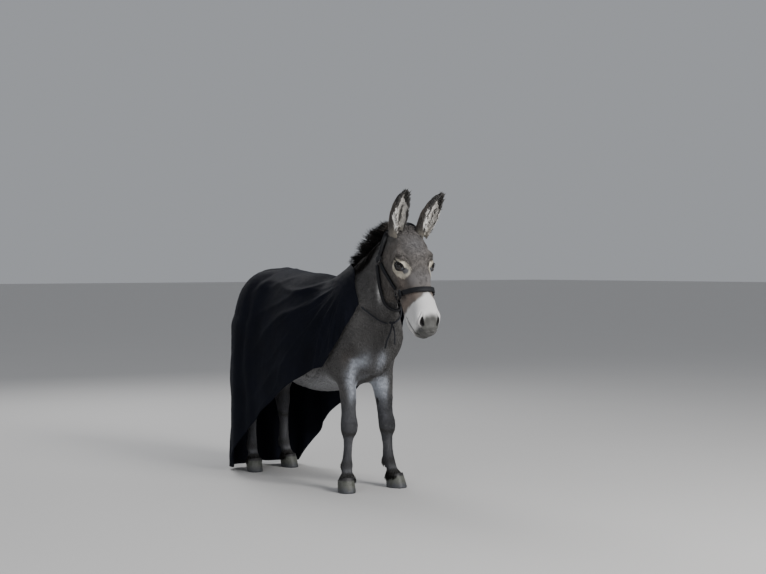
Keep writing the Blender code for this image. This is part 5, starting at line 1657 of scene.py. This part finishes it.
def locks(name, finish, hide_mesh, rng, roots, normals, lies, lengths, widths, lift, bend, colours, rings=3,
          slot="dark_hair", nodes=()):
    """A piece of longer hair, whose place on the unwrap is that of the skin nearest each root."""
    uv, own = hide_mesh.nearest_uv(roots), rng.random(len(roots))
    widths, lift, bend = (np.broadcast_to(v, (len(roots),)) for v in (widths, lift, bend))
    lies = laid_flat(lies, normals)
    return hair_piece(name, finish, slot, roots, normals, lies, lengths, widths, lift, bend, colours, uv, own,
                      rings, nodes)


# Where each piece of the coat grows, and the length of its hair.

def head_share(points):
    _, along, up = place = FACE.local(points)
    hole = nostril_place(*place)[0]
    mouth = bell(up - np.interp(along, *MOUTH_LINE), 0.004) * (along > 0.31)
    bare = (nearest_eye(points)[1] < 0.24) | (hole < 1.2) | (mouth > 0.4)
    return near_head(points) * (ear_share(points) < 0.3) * ~bare * (1.0 + 0.8 * smoothstep(along, 0.24, 0.32))


def head_length(points, _):
    _, along, up = FACE.local(points)
    length = 0.0105 - 0.0050 * smoothstep(along, 0.16, 0.30) - 0.0020 * smoothstep(along, 0.33, 0.38)
    length = length + 0.0045 * smoothstep(-up, 0.10, 0.17) * smoothstep(-along, -0.26, -0.16)
    return length * (1 - 0.5 * smoothstep(-nearest_eye(points)[1], -0.6, -0.2))


def face_length(points, _):
    """The undercoat of the face: shorter than the tufts over it."""
    return head_length(points, _) * 0.62


def neck_share(points):
    y, z = points.T[1:]
    return ~near_head(points) * (z > 0.62) * (y < 0.10) * (1 - 0.85 * under_cape(points))


def body_length(points, normals):
    length = 0.0165 + 0.0035 * ripple(points, 0.08, 21)
    length = length + 0.004 * smoothstep(-normals[:, 2], 0.2, 0.8) * (points[:, 2] > 0.33)
    return length * (1 - 0.38 * smoothstep(-points[:, 2], -0.48, -0.36) * (points[:, 1] < 0.13))


def chest_share(points):
    y, z = points.T[1:]
    here = ~near_head(points) * (z <= 0.66) * smoothstep(z, 0.335, 0.400) * (y < 0.13)
    return here * (1 - 0.85 * under_cape(points))


def trunk_share(points):
    y, z = points.T[1:]
    return ~near_head(points) * (y >= 0.10) * (z > 0.30) * np.where(under_cape(points), 0.12, 1.0)


def leg_share(points):
    y, z = points.T[1:]
    return smoothstep(-z, -0.415, -0.355) * (z > 0.052) * (y < 0.3)


def hind_share(points):
    y, z = points.T[1:]
    return (z <= 0.60) * (z > 0.052) * (y > 0.45)


def leg_length(points, normals):
    z = points[:, 2]
    behind = smoothstep(normals[:, 1], 0.1, 0.8)
    length = 0.0095 + 0.005 * smoothstep(z, 0.30, 0.40)
    length = length + 0.013 * bell(z - 0.103, 0.020) * behind + 0.0085 * smoothstep(-z, -0.074, -0.064)
    return length + 0.003 * behind * smoothstep(-z, -0.22, -0.18)


def ear_density(points):
    inside, rooted = np.zeros(len(points)), np.ones(len(points))
    for name, leaf in EARS.items():
        t, angle, half, inwards = ear_place(points, leaf)
        lining = (inwards > 0) & (inwards < 0.009)
        rooted = np.where((inwards > 0) & (inwards < 0.012) & (np.abs(t) < 0.05), 0, rooted)
        rooted = rooted * (1 - 0.85 * lining * shaded_ear_groove(name, t, angle))
        inside = np.maximum(inside, lining & (np.abs(angle) < half + 0.3))
    return ear_share(points) * (points[:, 2] > 0.90) * (1 + 0.3 * inside) * rooted


def ear_hair_length(points, _):
    length = np.full(len(points), 0.0085)
    for leaf in EARS.values():
        t, angle, half, inwards = place = ear_place(points, leaf)
        on = on_leaf(place)
        lining = 0.012 + 0.010 * bell(np.abs(angle) / half - 0.75, 0.25) * smoothstep(-t, -0.9, -0.3)
        length = np.where(on & (inwards > 0), lining, length)
        length = np.where(on & (t > 0.88), 0.007, length)
    return length


# piece: tufts, where they grow, their length, how wide they are for their length, lift at the root, seed
COAT = {
    "coat_head": (19500, head_share, head_length, 0.17, 0.26, 2),
    "coat_neck": (19500, neck_share, body_length, 0.17, 0.30, 3),
    "coat_face": (11000, head_share, face_length, 0.22, 0.22, 12),
    "coat_chest": (18000, chest_share, body_length, 0.17, 0.30, 4),
    "coat_trunk": (11000, trunk_share, body_length, 0.17, 0.30, 5),
    "coat_forelegs": (19500, leg_share, leg_length, 0.19, 0.30, 6),
    "coat_hindlegs": (8000, hind_share, leg_length, 0.19, 0.30, 7),
    "coat_ears": (12000, ear_density, ear_hair_length, 0.15, 0.30, 8),
}
CORONET_TUFTS, MANE_LOCKS, FORELOCK_TUFTS, TAIL_LOCKS = 900, 5600, 560, 5600


def coronets(hide_mesh, finish):
    """Black hair round the top of each hoof, long enough to hang over the horn."""
    rng = np.random.default_rng(35)
    roots, lengths = [], []
    for foot in FEET.values():
        frame_ = leg_frame(*foot)
        for _ in range(CORONET_TUFTS):
            angle = rng.uniform(0, 2 * math.pi)
            forward = (HOOF_TOP[1] + HOOF_TOP[2]) / 2 + 0.031 * math.cos(angle)
            rise = rng.uniform(0.000, 0.022)
            roots.append(frame_.world(0.029 * math.sin(angle), coronet(forward) + rise, forward))
            lengths.append(rng.uniform(0.018, 0.026) + 0.3 * rise)
    roots = settled(np.array(roots), 6, 0.006)
    count = len(roots)
    normals = unit_rows(gradient(hide, roots) * np.array([1, 1, 0.3]))
    lies = np.array([0.0, 0.0, -1.0]) + rng.normal(0, 0.10, (count, 3))
    colours = DARK_BROWN * rng.uniform(0.3, 0.7, count)[:, None]
    return locks("coat_coronets", finish, hide_mesh, rng, roots, normals, lies, np.array(lengths), 0.0026,
                 rng.uniform(0.45, 0.75, count), rng.uniform(0.35, 0.75, count), colours)


def mane(hide_mesh, finish):
    """The upright mane: many tapered locks along the crest, uneven and leaning here and there."""
    rng = np.random.default_rng(31)
    count = MANE_LOCKS
    y = rng.uniform(MANE_FRONT - 0.010, MANE_BACK + 0.026, count)
    t = (y - MANE_FRONT) / (MANE_BACK - MANE_FRONT)
    flat, level = 0 * y, np.stack([y, 0 * y, 0 * y], 1)
    places, outs = crest_line(y, 24)
    offset = np.clip(rng.normal(-0.002, 0.0075, count), -0.017, 0.012)
    roots = places + np.stack([offset, flat, -np.abs(offset) * 0.5], 1) - outs * 0.008
    clump = ripple(level, 0.022, 11)
    height = (0.030 + 0.026 * np.sin(math.pi * np.clip(0.15 + 0.72 * t, 0, 1))) * (1 + 0.22 * clump)
    lengths = height * rng.uniform(0.62, 1.08, count) + 0.008
    lean_back = 0.32 * ripple(level, 0.035, 12) + rng.normal(0, 0.12, count) + 0.15
    lean_side = offset / 0.011 * 0.30 - 0.12 + 0.28 * ripple(level, 0.03, 14)
    lean_side += rng.normal(0, 0.10, count)
    lies = laid_flat(unit_rows(np.stack([lean_side, lean_back, flat], 1) + np.array([1e-4, 0, 0])), outs)
    tilt = np.hypot(lean_side, lean_back)
    tone = np.where(rng.random(count) < 0.10, 2.4, 0.7)[:, None]
    colours = DARK_BROWN * tone * rng.uniform(0.7, 1.4, count)[:, None]
    pale = (rng.random(count) < 0.85 * smoothstep(-y, 0.155, 0.192))[:, None]
    colours = np.where(pale, WARM_GREY * rng.uniform(0.6, 1.7, count)[:, None], colours)
    # Towards the withers part of the mane has fallen over onto the right side of the neck.
    fallen = rng.random(count) < 0.36 + 0.34 * smoothstep(y, -0.12, -0.06)
    outs = np.where(fallen[:, None], unit_rows(outs * 0.55 + np.array([-1.0, 0, 0])), outs)
    down = unit_rows(np.stack([flat - 0.35, rng.normal(-0.05, 0.15, count), flat - 1], 1))
    lies = np.where(fallen[:, None], laid_flat(down, outs), lies)
    tilt = np.where(fallen, math.pi / 2 - rng.uniform(0.25, 0.55, count), tilt)
    hanging = rng.uniform(0.5, 1.0, count) * (0.042 + 0.064 * smoothstep(y, -0.14, -0.06))
    lengths = np.where(fallen, hanging, lengths)
    return locks("mane_hair", finish, hide_mesh, rng, roots, outs, lies, lengths, 0.0032, math.pi / 2 - tilt,
                 rng.uniform(0.1, 0.5, count), colours, rings=4, nodes=("mane",))


def forelock(hide_mesh, finish):
    """A short fringe between the ears."""
    rng = np.random.default_rng(32)
    count = FORELOCK_TUFTS
    across, back = rng.normal(0, 0.016, count), rng.uniform(-0.040, 0.018, count)
    roots = settled(FACE.world(across, back, 0 * back), 5)
    lies = unit_rows(FACE.along + np.outer(across / 0.03, FACE.side) + rng.normal(0, 0.35, (count, 3)))
    streak = np.where(rng.random(count) < 0.40, rng.uniform(1.5, 2.6, count), rng.uniform(0.7, 1.3, count))
    colours = (WARM_GREY * 0.5 + COOL_GREY * 0.6) * streak[:, None]
    return locks("forelock", finish, hide_mesh, rng, roots, gradient(hide, roots), lies,
                 rng.uniform(0.012, 0.024, count), 0.0024, rng.uniform(0.25, 0.60, count),
                 rng.uniform(0.2, 0.8, count), colours, slot="coat")


def tail_hair(hide_mesh, finish):
    """The tail: short hair down the dock, then the long switch."""
    rng = np.random.default_rng(33)
    count = TAIL_LOCKS
    t = np.where(rng.random(count) < 0.42, rng.uniform(-0.005, 0.30, count), rng.uniform(0.24, 0.47, count))
    angle = rng.uniform(0, 2 * math.pi, count)
    side_mid, up_mid, width, above, below = TAIL.at(t)
    high = np.where(np.cos(angle) > 0, above, below)
    core = np.where(t < 0.30, 0.62, 0.45)
    s, u = width * core * np.sin(angle), high * core * np.cos(angle)
    roots = TAIL_FRAME.world(side_mid + s, t, up_mid + u)
    outs = unit_rows(TAIL_FRAME.world(s / width, 0 * t, u / high) - TAIL_FRAME.origin)
    switch = smoothstep(t, 0.20, 0.30)
    lengths = 0.022 + (0.115 - 0.022) * switch * rng.uniform(0.6, 1.0, count)
    lengths = np.minimum(lengths, 0.512 - t) * rng.uniform(0.85, 1.0, count)
    lies = TAIL_FRAME.along + rng.normal(0, 0.06, (count, 3))
    colours = DARK_BROWN * np.where(t < 0.22, 2.6, 1.1)[:, None] * rng.uniform(0.7, 1.4, count)[:, None]
    return locks("tail_hair", finish, hide_mesh, rng, roots, outs, lies, np.maximum(lengths, 0.012),
                 0.0028 + 0.0012 * switch, 0.30 - 0.12 * switch, 0.30 + 0.1 * switch, colours, rings=4,
                 nodes=("tail",))


def tail_dock(finish):
    """The bare core that the tail's hair grows on."""
    turn = np.linspace(0, 2 * math.pi, 24, endpoint=False)
    rings = []
    for share in np.linspace(0, 1, 40):
        t = TAIL.t[0] + (0.44 - TAIL.t[0]) * share
        side_mid, up_mid, width, above, below = TAIL.at(t)
        rounding = math.sqrt(max(0.01, 1 - max(0, share - 0.9) * 9.9))
        close = 0.66 * (1 - 0.35 * smoothstep(t, 0.20, 0.32)) * rounding
        high = np.where(np.cos(turn) > 0, above, below)
        rings.append(TAIL_FRAME.world(side_mid + width * close * np.sin(turn), np.full(24, t),
                                      up_mid + high * close * np.cos(turn)))
    obj = ring_stack("tail_dock", rings, finish)
    point_colours(obj, "hide", DARK_BROWN * 1.5)
    return belongs(obj, "dark_hair", "tail")


def eyelashes(hide_mesh, finish):
    """Lashes of the upper lids."""
    rng = np.random.default_rng(34)
    roots, normals, lies, lengths = [], [], [], []
    for centre, out, nasal, brow in EYES.values():
        for b in np.linspace(-0.75, 0.80, 46):
            arch = 1 - (abs(b) / LID_HALF_LENGTH) ** 2.2
            c = LID_RISE * arch - 0.10 * b + rng.normal(0.02, 0.02)
            facing = unit(out * math.cos(b) * math.cos(c) + nasal * math.sin(b) + brow * math.sin(c))
            roots.append(centre + facing * (EYE_RADIUS + 0.0012))
            normals.append(facing)
            lies.append(unit(brow * -0.5 + nasal * (b * 0.5 + rng.normal(0, 0.15)) + out * 0.3))
            lengths.append(rng.uniform(0.009, 0.013) * (0.6 + 0.4 * arch))
    colours = np.tile(DARK_BROWN * 0.6, (len(roots), 1))
    return locks("eyelashes", finish, hide_mesh, rng, np.array(roots), np.array(normals), np.array(lies),
                 np.array(lengths), 0.0011, 0.75, 0.75, colours)


# ---------------------------------------------------------------- eyes and hooves

def eye(side, finish):
    """An eyeball with a raised cornea, its iris and level pupil held as values over its surface."""
    centre, out, nasal, brow = EYES[1 if side == "left" else -1]
    obj = primitive("uv_sphere", segments=64, ring_count=40, radius=EYE_RADIUS - 0.0004)
    local = np.array([v.co for v in obj.data.vertices])
    points = centre + local[:, :1] * nasal + local[:, 1:2] * brow + local[:, 2:] * out
    gaze = np.hypot(local[:, 0], local[:, 1]) / EYE_RADIUS
    ahead = local[:, 2] > 0
    points += np.outer(0.0010 * bell(gaze, 0.45) * ahead, out)
    moved(obj, points)
    obj.name = "eye_" + side + "_ball"
    obj.data.materials.append(finish)
    obj.data.shade_smooth()
    outward(obj)
    pupil = sum((np.abs(local[:, i]) / (EYE_RADIUS * half)) ** 2.5 for i, half in enumerate((0.42, 0.22)))
    point_values(obj, "iris", np.where(ahead, smoothstep(-gaze, -0.76, -0.64), 0))
    point_values(obj, "pupil", np.where(ahead, smoothstep(-pupil, -1.25, -0.8), 0))
    return belongs(obj, "eye", "eye_" + side)


HOOF_SIDES, WALL_RINGS = 56, 26
# the hollow sole and the bearing edge: how much smaller than the foot, and the height
SOLE_RINGS = mm((16, 4.5), (8, 3.5), (6, 0), (2.2, 0), (0.5, 1.5))
# the coronet: how much smaller than the foot, and how far below the coronet's plane
TOP_RINGS = mm((-0.8, 2), (1, 0), (10, 0))


def hoof(name, finish):
    """A hoof: a wall with growth rings that flares to the ground, a hollow sole and a soft coronet."""
    frame_ = leg_frame(*FEET[name])
    sole = HOOF_SOLE[name[:4]]

    def ring(size, shrink, base, share=0.0, drop=0.0):
        """One ring, at a height that is base and a share of the coronet's height less drop."""
        half, toe, heel = size
        points = []
        for angle in 2 * math.pi * np.arange(HOOF_SIDES) / HOOF_SIDES:
            back = smoothstep(-math.cos(angle), 0.75, 1.0)
            side = (half - shrink) * squared(math.sin(angle))
            forward = (toe + heel) / 2 + ((toe - heel) / 2 - shrink) * squared(math.cos(angle)) + 0.003 * back
            points.append(frame_.world(side, base + (coronet(forward) - drop) * share, forward))
        return points

    rings = [ring(sole, *row) for row in SOLE_RINGS]
    for i in range(1, WALL_RINGS):
        share = i / WALL_RINGS
        groove = 0.00045 * (0.5 + 0.5 * math.sin(share * 46 + 1.5 * math.sin(share * 9)))
        size = tuple(a + (b - a) * share for a, b in zip(sole, HOOF_TOP))
        rings.append(ring(size, groove, 0.0035, share, 0.006))
    rings += [ring(HOOF_TOP, shrink, 0.0, 1.0, drop) for shrink, drop in TOP_RINGS]
    return belongs(ring_stack(name + "_horn", rings, finish), "horn", name + "_hoof")


# ---------------------------------------------------------------- halter

# half a strap's outline, in half widths and half thicknesses, from its middle to its edge and round below
HALF_OUTLINE = [(0.72, 1), (0.80, 0.80), (0.88, 1), (0.97, 0.7), (1, 0), (0.95, -0.9)]
STRAP_OUTLINE = np.array([(-s, h) for s, h in HALF_OUTLINE[4::-1]] + [(0, 1.05)] + HALF_OUTLINE
                         + [(0, -1), (-0.95, -0.9)])
# strap: places on one side, width, CAD node, and what else sets it apart
STRAPS = {
    "crown": (CROWN, STRAP_WIDTH, "halter_crown", {"thick": 0.0150}),
    "noseband": (NOSEBAND, NOSEBAND_WIDTH, "halter_noseband", {}),
    "chin": (CHIN, STRAP_WIDTH, "halter_chin_strap", {"slack": CHIN_SLACK}),
    "throat": (THROAT, THROAT_WIDTH, "halter_throatlatch", {"clearance": 0.006, "thick": 0.0080}),
}
# place, along FACE on one side, and size of the fittings
BUCKLE = mm((85, 53, -114), (20, 26, 3))
RING = mm((44, 203, -112), (24, 24, 3))
KEEPER = mm((85, 50, -112), (26, 24, 14))
LOOP = mm((52, 222, -82), (30, 26, 8))
FITTING_LIFT = 0.004


def woven_strap(name, places, width, finish, node, clearance=STRAP_CLEARANCE, slack=0.0, spacing=0.003,
                thick=STRAP_THICKNESS):
    """A webbing strap on the head: rounded edges, a raised stitch line near each, its own tape map."""
    path, across, out = strap_line(places, width, clearance, slack, spacing)
    outline = STRAP_OUTLINE * (width / 2, thick / 2)
    rings = [[p + a * s + o * h for s, h in outline] for p, a, o in zip(path, across, out)]
    obj = ring_stack(name + "_tape", rings, finish)
    run = run_along(path)
    corner_uv(obj, "tape", [(r, s) for r in run for s, _ in outline] + [(0, 0), (run[-1], 0)])
    return belongs(obj, "webbing", node)


def fitting_frame(place, size, sign):
    """A frame on the head, at the height of a fitting over the strap."""
    height = STRAP_CLEARANCE + STRAP_THICKNESS + FITTING_LIFT + size[2] / 2
    spot = laid_on(mirrored(FACE, place, sign)[None], flesh, height)[0]
    return Frame(spot, FACE.along, gradient(flesh, spot[None])[0])


def set_in(obj, frame_, name, finish):
    """Moves a shape modelled flat, x side, y along and z up, into a frame on the head."""
    local = np.array([v.co for v in obj.data.vertices])
    points = np.array([frame_.world(*p) for p in local])
    obj.matrix_world.identity()
    moved(obj, points)
    obj.name = name
    obj.data.materials.clear()
    obj.data.materials.append(finish)
    obj.data.shade_smooth()
    return outward(obj)


def joined(first, *others):
    bpy.ops.object.select_all(action="DESELECT")
    for obj in (first, *others):
        obj.select_set(True)
    bpy.context.view_layer.objects.active = first
    bpy.ops.object.join()
    return bpy.context.object


def rounded_frame(width, length, wire):
    """A buckle's frame: a torus drawn out into a rounded rectangle."""
    obj = primitive("torus", major_radius=1.0, minor_radius=wire, major_segments=48, minor_segments=10)
    for v in obj.data.vertices:
        angle = math.atan2(v.co.y, v.co.x)
        reach = math.hypot(v.co.x, v.co.y) - 1.0
        c, s = math.cos(angle), math.sin(angle)
        corner = (abs(c) ** 4 + abs(s) ** 4) ** -0.25
        v.co.x, v.co.y = (width / 2 * corner + reach) * c, (length / 2 * corner + reach) * s
    return obj


def rod(start, end, radius):
    start, end = Vector(start), Vector(end)
    obj = primitive("cylinder", vertices=12, radius=radius, depth=(end - start).length,
                    location=(start + end) / 2, rotation=(end - start).to_track_quat("Z", "Y").to_euler())
    bpy.ops.object.transform_apply(location=True, rotation=True, scale=True)
    return modified(obj, "BEVEL", width=radius * 0.5, segments=2)


def buckle(side, sign, finish):
    frame_ = fitting_frame(*BUCKLE, sign)
    outer = rounded_frame(0.019, 0.023, 0.0014)
    bar_ = rod((-0.0095, 0, 0), (0.0095, 0, 0), 0.0011)
    tongue = rod((0, -0.0005, 0.0011), (0, 0.0118, 0.0016), 0.0010)
    obj = set_in(joined(outer, bar_, tongue), frame_, "halter_buckle_" + side + "_steel", finish)
    return belongs(obj, "fittings", "halter_buckle_" + side)


def keeper(name, place, size, sign, finish, node):
    """A sewn loop of doubled webbing round the straps that meet at a place."""
    frame_ = fitting_frame(place, size, sign)
    obj = primitive("cube", size=1.0)
    obj.scale = size
    bpy.ops.object.transform_apply(location=True, rotation=True, scale=True)
    modified(obj, "BEVEL", width=size[2] * 0.35, segments=4)
    tilt = Frame(frame_.origin - frame_.up * size[2] * 0.55, frame_.along, frame_.up)
    set_in(obj, tilt, name, finish)
    corner_uv(obj, "tape", points_of(obj)[:, :2])
    return belongs(obj, "webbing", node)


def nose_ring(side, sign, finish):
    ring = primitive("torus", major_radius=0.0105, minor_radius=0.0014, major_segments=48, minor_segments=12)
    obj = set_in(ring, fitting_frame(*RING, sign), "halter_ring_" + side + "_steel", finish)
    return belongs(obj, "fittings", "halter_ring_" + side)


def halter():
    """Webbing straps round the head, with a keeper, a loop, a buckle and a ring on each side."""
    tape, steel = webbing_finish(), steel_finish()
    for name, (line, width, node, more) in STRAPS.items():
        places = both_sides(line, -1) + both_sides(line, 1)[-2::-1]
        woven_strap("halter_" + name, places, width, tape, node, **more)
    for sign, side in ((1, "left"), (-1, "right")):
        cheek = "halter_cheek_" + side
        woven_strap(cheek, both_sides(CHEEK, sign), STRAP_WIDTH, tape, cheek, thick=0.0055)
        keeper("halter_keeper_" + side + "_tape", *KEEPER, sign, tape, "halter_buckle_" + side)
        keeper("halter_loop_" + side + "_tape", *LOOP, sign, tape, "halter_noseband")
        buckle(side, sign, steel)
        nose_ring(side, sign, steel)


# ---------------------------------------------------------------- cape

CAPE_FINE_COLUMNS, CAPE_FINE_ROWS = 132, 84
CLOTH_THICKNESS = 0.0022


def cape_piece(finish):
    """The cape as one closed sheet with finer folds and its own map in metres of cloth."""
    ts = np.linspace(0, 1, CAPE_FINE_COLUMNS + 1)
    downs = (np.arange(CAPE_FINE_ROWS + 1) / CAPE_FINE_ROWS) ** CAPE_ROW_POWER
    columns = []
    for sign, order in ((-1, ts), (1, ts[-2::-1])):
        for t, line in zip(order, smooth_profiles(order, sign)):
            columns.append([cape_point(line, t, v, sign) for v in downs])
    grid = folded(np.array(columns))
    rows = grid.shape[1]
    n = np.arange(grid.shape[0] * rows).reshape(grid.shape[0], rows)
    quads = np.stack([n[:-1, :-1], n[1:, :-1], n[1:, 1:], n[:-1, 1:]], -1).reshape(-1, 4)
    obj = mesh_object("cape_cloth", grid.reshape(-1, 3), quads, finish)
    down = np.concatenate([run_along(column) for column in grid])
    corner_uv(obj, "cloth", np.stack([np.repeat(run_along(grid[:, rows // 2]), rows), down], 1))
    reworked(obj, lambda bm: bmesh.ops.remove_doubles(bm, verts=bm.verts, dist=2e-4))
    modified(obj, "SOLIDIFY", thickness=CLOTH_THICKNESS, offset=1.0)
    belongs(obj, "cape_cloth", "cape")


def folded(grid):
    """Raises the folds: they fan out from the withers, and hang straight down round the back."""
    out = np.cross(np.gradient(grid, axis=0), np.gradient(grid, axis=1))
    out /= np.maximum(np.linalg.norm(out, axis=2, keepdims=True), 1e-9)
    x, y, z = grid[..., 0], grid[..., 1], grid[..., 2]
    away = np.stack([x, y - np.minimum(y, 0.45), z - 0.45], -1)
    out *= np.sign((away * out).sum(-1) + 1e-9)[..., None]
    flat = grid.reshape(-1, 3)
    wander = ripple(flat, 0.22, 41).reshape(x.shape)
    reach = np.hypot(y + 0.03, z - 0.80)
    turn = np.arctan2(0.80 - z, y + 0.03)
    fan = pleat(9 * turn + 0.9 * wander + np.sign(x)) + 0.45 * pleat(15 * turn - 1.2 * wander)
    round_back = np.arctan2(x, y - 0.45 + 1e-6)
    hang = np.sin(15 * round_back + 1.3 * wander) + 0.4 * np.sin(27 * round_back + 2 * wander)
    rear = smoothstep(y, 0.46, 0.60)
    wave = fan * (1 - rear) + hang * rear
    low = smoothstep(-z, -0.72, -0.30)
    height = (0.0080 + 0.0030 * low) * smoothstep(reach, 0.03, 0.20)
    height = height * smoothstep(np.abs(x) + 0.2 * rear, 0.03, 0.10)
    small = 0.0006 * (1 + ripple(flat, 0.03, 42).reshape(x.shape))
    return grid + out * (height * np.clip(0.6 + 0.45 * wave, 0, None) + small)[..., None]


def pleat(angle):
    """A narrow raised fold for each half turn, from -0.5 to 1.5."""
    return 2 * (1 - np.abs(np.sin(angle))) ** 2.2 - 0.5


def smooth_profiles(order, sign):
    """Cross-sections of the cape, each the mean of its neighbours, so that the cloth has no creases."""
    lines = cape_profiles(order, sign)
    last = len(lines) - 1
    return [tuple(np.mean([lines[j] for j in range(max(0, i - 2), min(last, i + 2) + 1)], axis=0))
            for i in range(last + 1)]


# ---------------------------------------------------------------- ties

CORD_SIDES, KNOT_SIDES, KNOT_STEPS = 14, 12, 96


def rings_along(path, tangent, hint, radius, sides):
    """Circles round a path's points; hint is a direction that the path never takes."""
    a = unit_rows(np.cross(tangent, np.array(hint)))
    b = np.cross(tangent, a)
    turn = np.linspace(0, 2 * math.pi, sides, endpoint=False)
    return np.array([[p + (u * math.cos(k) + v * math.sin(k)) * radius for k in turn]
                     for p, u, v in zip(path, a, b)])


def round_cord(name, path, finish):
    """A mesh tube along a path, with its own map: turns round it and metres along it."""
    tangent = unit_rows(np.gradient(path, axis=0))
    rings = rings_along(path, tangent, (0.13, 0.21, 1.0), TIE_DIAMETER / 2, CORD_SIDES)
    obj = ring_stack(name, rings, finish)
    run = run_along(path) / TIE_DIAMETER
    uv = [(r, k / CORD_SIDES * 2) for r in run for k in range(CORD_SIDES)]
    corner_uv(obj, "cord", uv + [(0, 0), (run[-1], 0)])
    return obj


def knot_piece(finish):
    """The knot: two turns of the cord drawn tight over each other."""
    steps = np.linspace(0, 2 * math.pi, KNOT_STEPS, endpoint=False)
    x = 0.0062 * (np.sin(steps) + 0.9 * np.sin(2 * steps))
    z = 0.0050 * (np.cos(steps) - 0.9 * np.cos(2 * steps))
    y = -0.0036 * np.sin(3 * steps)
    path = np.stack([x, y, z], 1) + KNOT_PLACE
    tangent = unit_rows(np.roll(path, -1, 0) - np.roll(path, 1, 0))
    rings = rings_along(path, tangent, (0.1, 1.0, 0.2), 0.0032, KNOT_SIDES)
    n = np.arange(KNOT_STEPS * KNOT_SIDES).reshape(-1, KNOT_SIDES)
    m, q = np.roll(n, -1, 0), np.roll(n, -1, 1)
    quads = np.stack([n, q, np.roll(m, -1, 1), m], -1).reshape(-1, 4)
    obj = outward(mesh_object("cape_knot_cord", rings.reshape(-1, 3), quads, finish))
    corner_uv(obj, "cord", [(step * 0.5, k / 6) for step in range(KNOT_STEPS) for k in range(KNOT_SIDES)])
    return belongs(obj, "cape_cloth", "cape_knot")


def ties(finish):
    knot = knot_piece(finish)
    for sign, side in ((1, "left"), (-1, "right")):
        path = tie_route(sign)
        string = belongs(round_cord("tie_string_" + side, path, finish), "cape_cloth", "cape_tie_" + side)
        path = smooth_path(TAILS[side], TIE_DIAMETER)
        end = belongs(round_cord("tie_tail_" + side, path, finish), "cape_cloth", "cape_tail_" + side)


# ---------------------------------------------------------------- floor and light

FLOOR_HALF = 60.0


def plain_floor():
    f = Finish("floor", Roughness=0.75)
    cloudy = f.noise(f.coordinates(), 1.5, 3.0) * 0.2
    f.set("Base Color", f.mixed(cloudy, (0.62, 0.61, 0.60), (0.52, 0.51, 0.50)))
    corners = FLOOR_HALF * np.array([(-1, -1, 0), (1, -1, 0), (1, 1, 0), (-1, 1, 0)])
    obj = mesh_object("floor", corners, np.array([[0, 1, 2, 3]]), f.material, smooth=False)


def lamp(name, place, target, size, power, colour=(1, 1, 1)):
    data = bpy.data.lights.new(name, "AREA")
    data.shape, data.size, data.energy, data.color = "DISK", size, power, colour
    obj = bpy.data.objects.new(name, data)
    bpy.context.scene.collection.objects.link(obj)
    obj.location = place
    obj.rotation_euler = (Vector(target) - Vector(place)).to_track_quat("-Z", "Y").to_euler()


def studio():
    plain_floor()
    world = bpy.data.worlds.new("studio")
    bpy.context.scene.world = world
    world.use_nodes = True
    colour, strength = world.node_tree.nodes["Background"].inputs[:2]
    colour.default_value, strength.default_value = (0.80, 0.83, 0.88, 1), 0.42
    lamp("key", (0.6, -4.4, 2.7), (0, -0.2, 0.6), 1.8, 210, (1.0, 0.99, 0.97))
    lamp("fill", (-4.2, -2.2, 2.0), (0, 0, 0.5), 2.5, 38, (0.93, 0.96, 1.0))
    lamp("back", (0.5, 3.5, 3.0), (0, 0, 0.6), 2.0, 70)


# ---------------------------------------------------------------- everything

def finished_skin(finish):
    """The skin with its unwrap and markings, in place of the solids of the body."""
    skin = skin_object()
    skin.data.materials.append(finish)
    bpy.ops.object.select_all(action="DESELECT")
    skin.select_set(True)
    bpy.context.view_layer.objects.active = skin
    skin.data.uv_layers.new(name="OFBake")
    bpy.ops.object.mode_set(mode="EDIT")
    bpy.ops.mesh.select_all(action="SELECT")
    bpy.ops.uv.smart_project(angle_limit=math.radians(66), island_margin=0.002)
    bpy.ops.object.mode_set(mode="OBJECT")
    skin.data.shade_smooth()
    point_colours(skin, "hide", markings_and_painted_light(points_of(skin), normals_of(skin)))
    return belongs(skin, "coat", "trunk", "neck", "head", "ear_left", "ear_right", "foreleg_left",
                   "foreleg_right", "hindleg_left", "hindleg_right")


def hair(hide_mesh, skin_look):
    """The coat, mane, forelock, tail, lashes and the hair over the hooves."""
    coat, dark = coat_finish("coat_tufts"), coat_finish("dark_locks", 0.6, 0.02, 0.10)
    share = 1.0
    for name, (count, density, length, width, lift, seed) in COAT.items():
        tufts(name, hide_mesh, coat, int(count * share), density, length, width, lift, seed)
    mane(hide_mesh, dark)
    forelock(hide_mesh, coat)
    tail_dock(skin_look)
    tail_hair(hide_mesh, dark)
    eyelashes(hide_mesh, dark)
    coronets(hide_mesh, dark)


def build():
    cloth, cord_look = cloth_finish(), cord_finish()
    ties(cord_look)
    hide_look = hide_finish()
    hair(Hide(finished_skin(hide_look)), hide_look)
    eyeball, horn = eye_finish(), horn_finish()
    for side in ("left", "right"):
        eye(side, eyeball)
    for name in FEET:
        hoof(name, horn)
    halter()
    cape_piece(cloth)
    studio()


build()
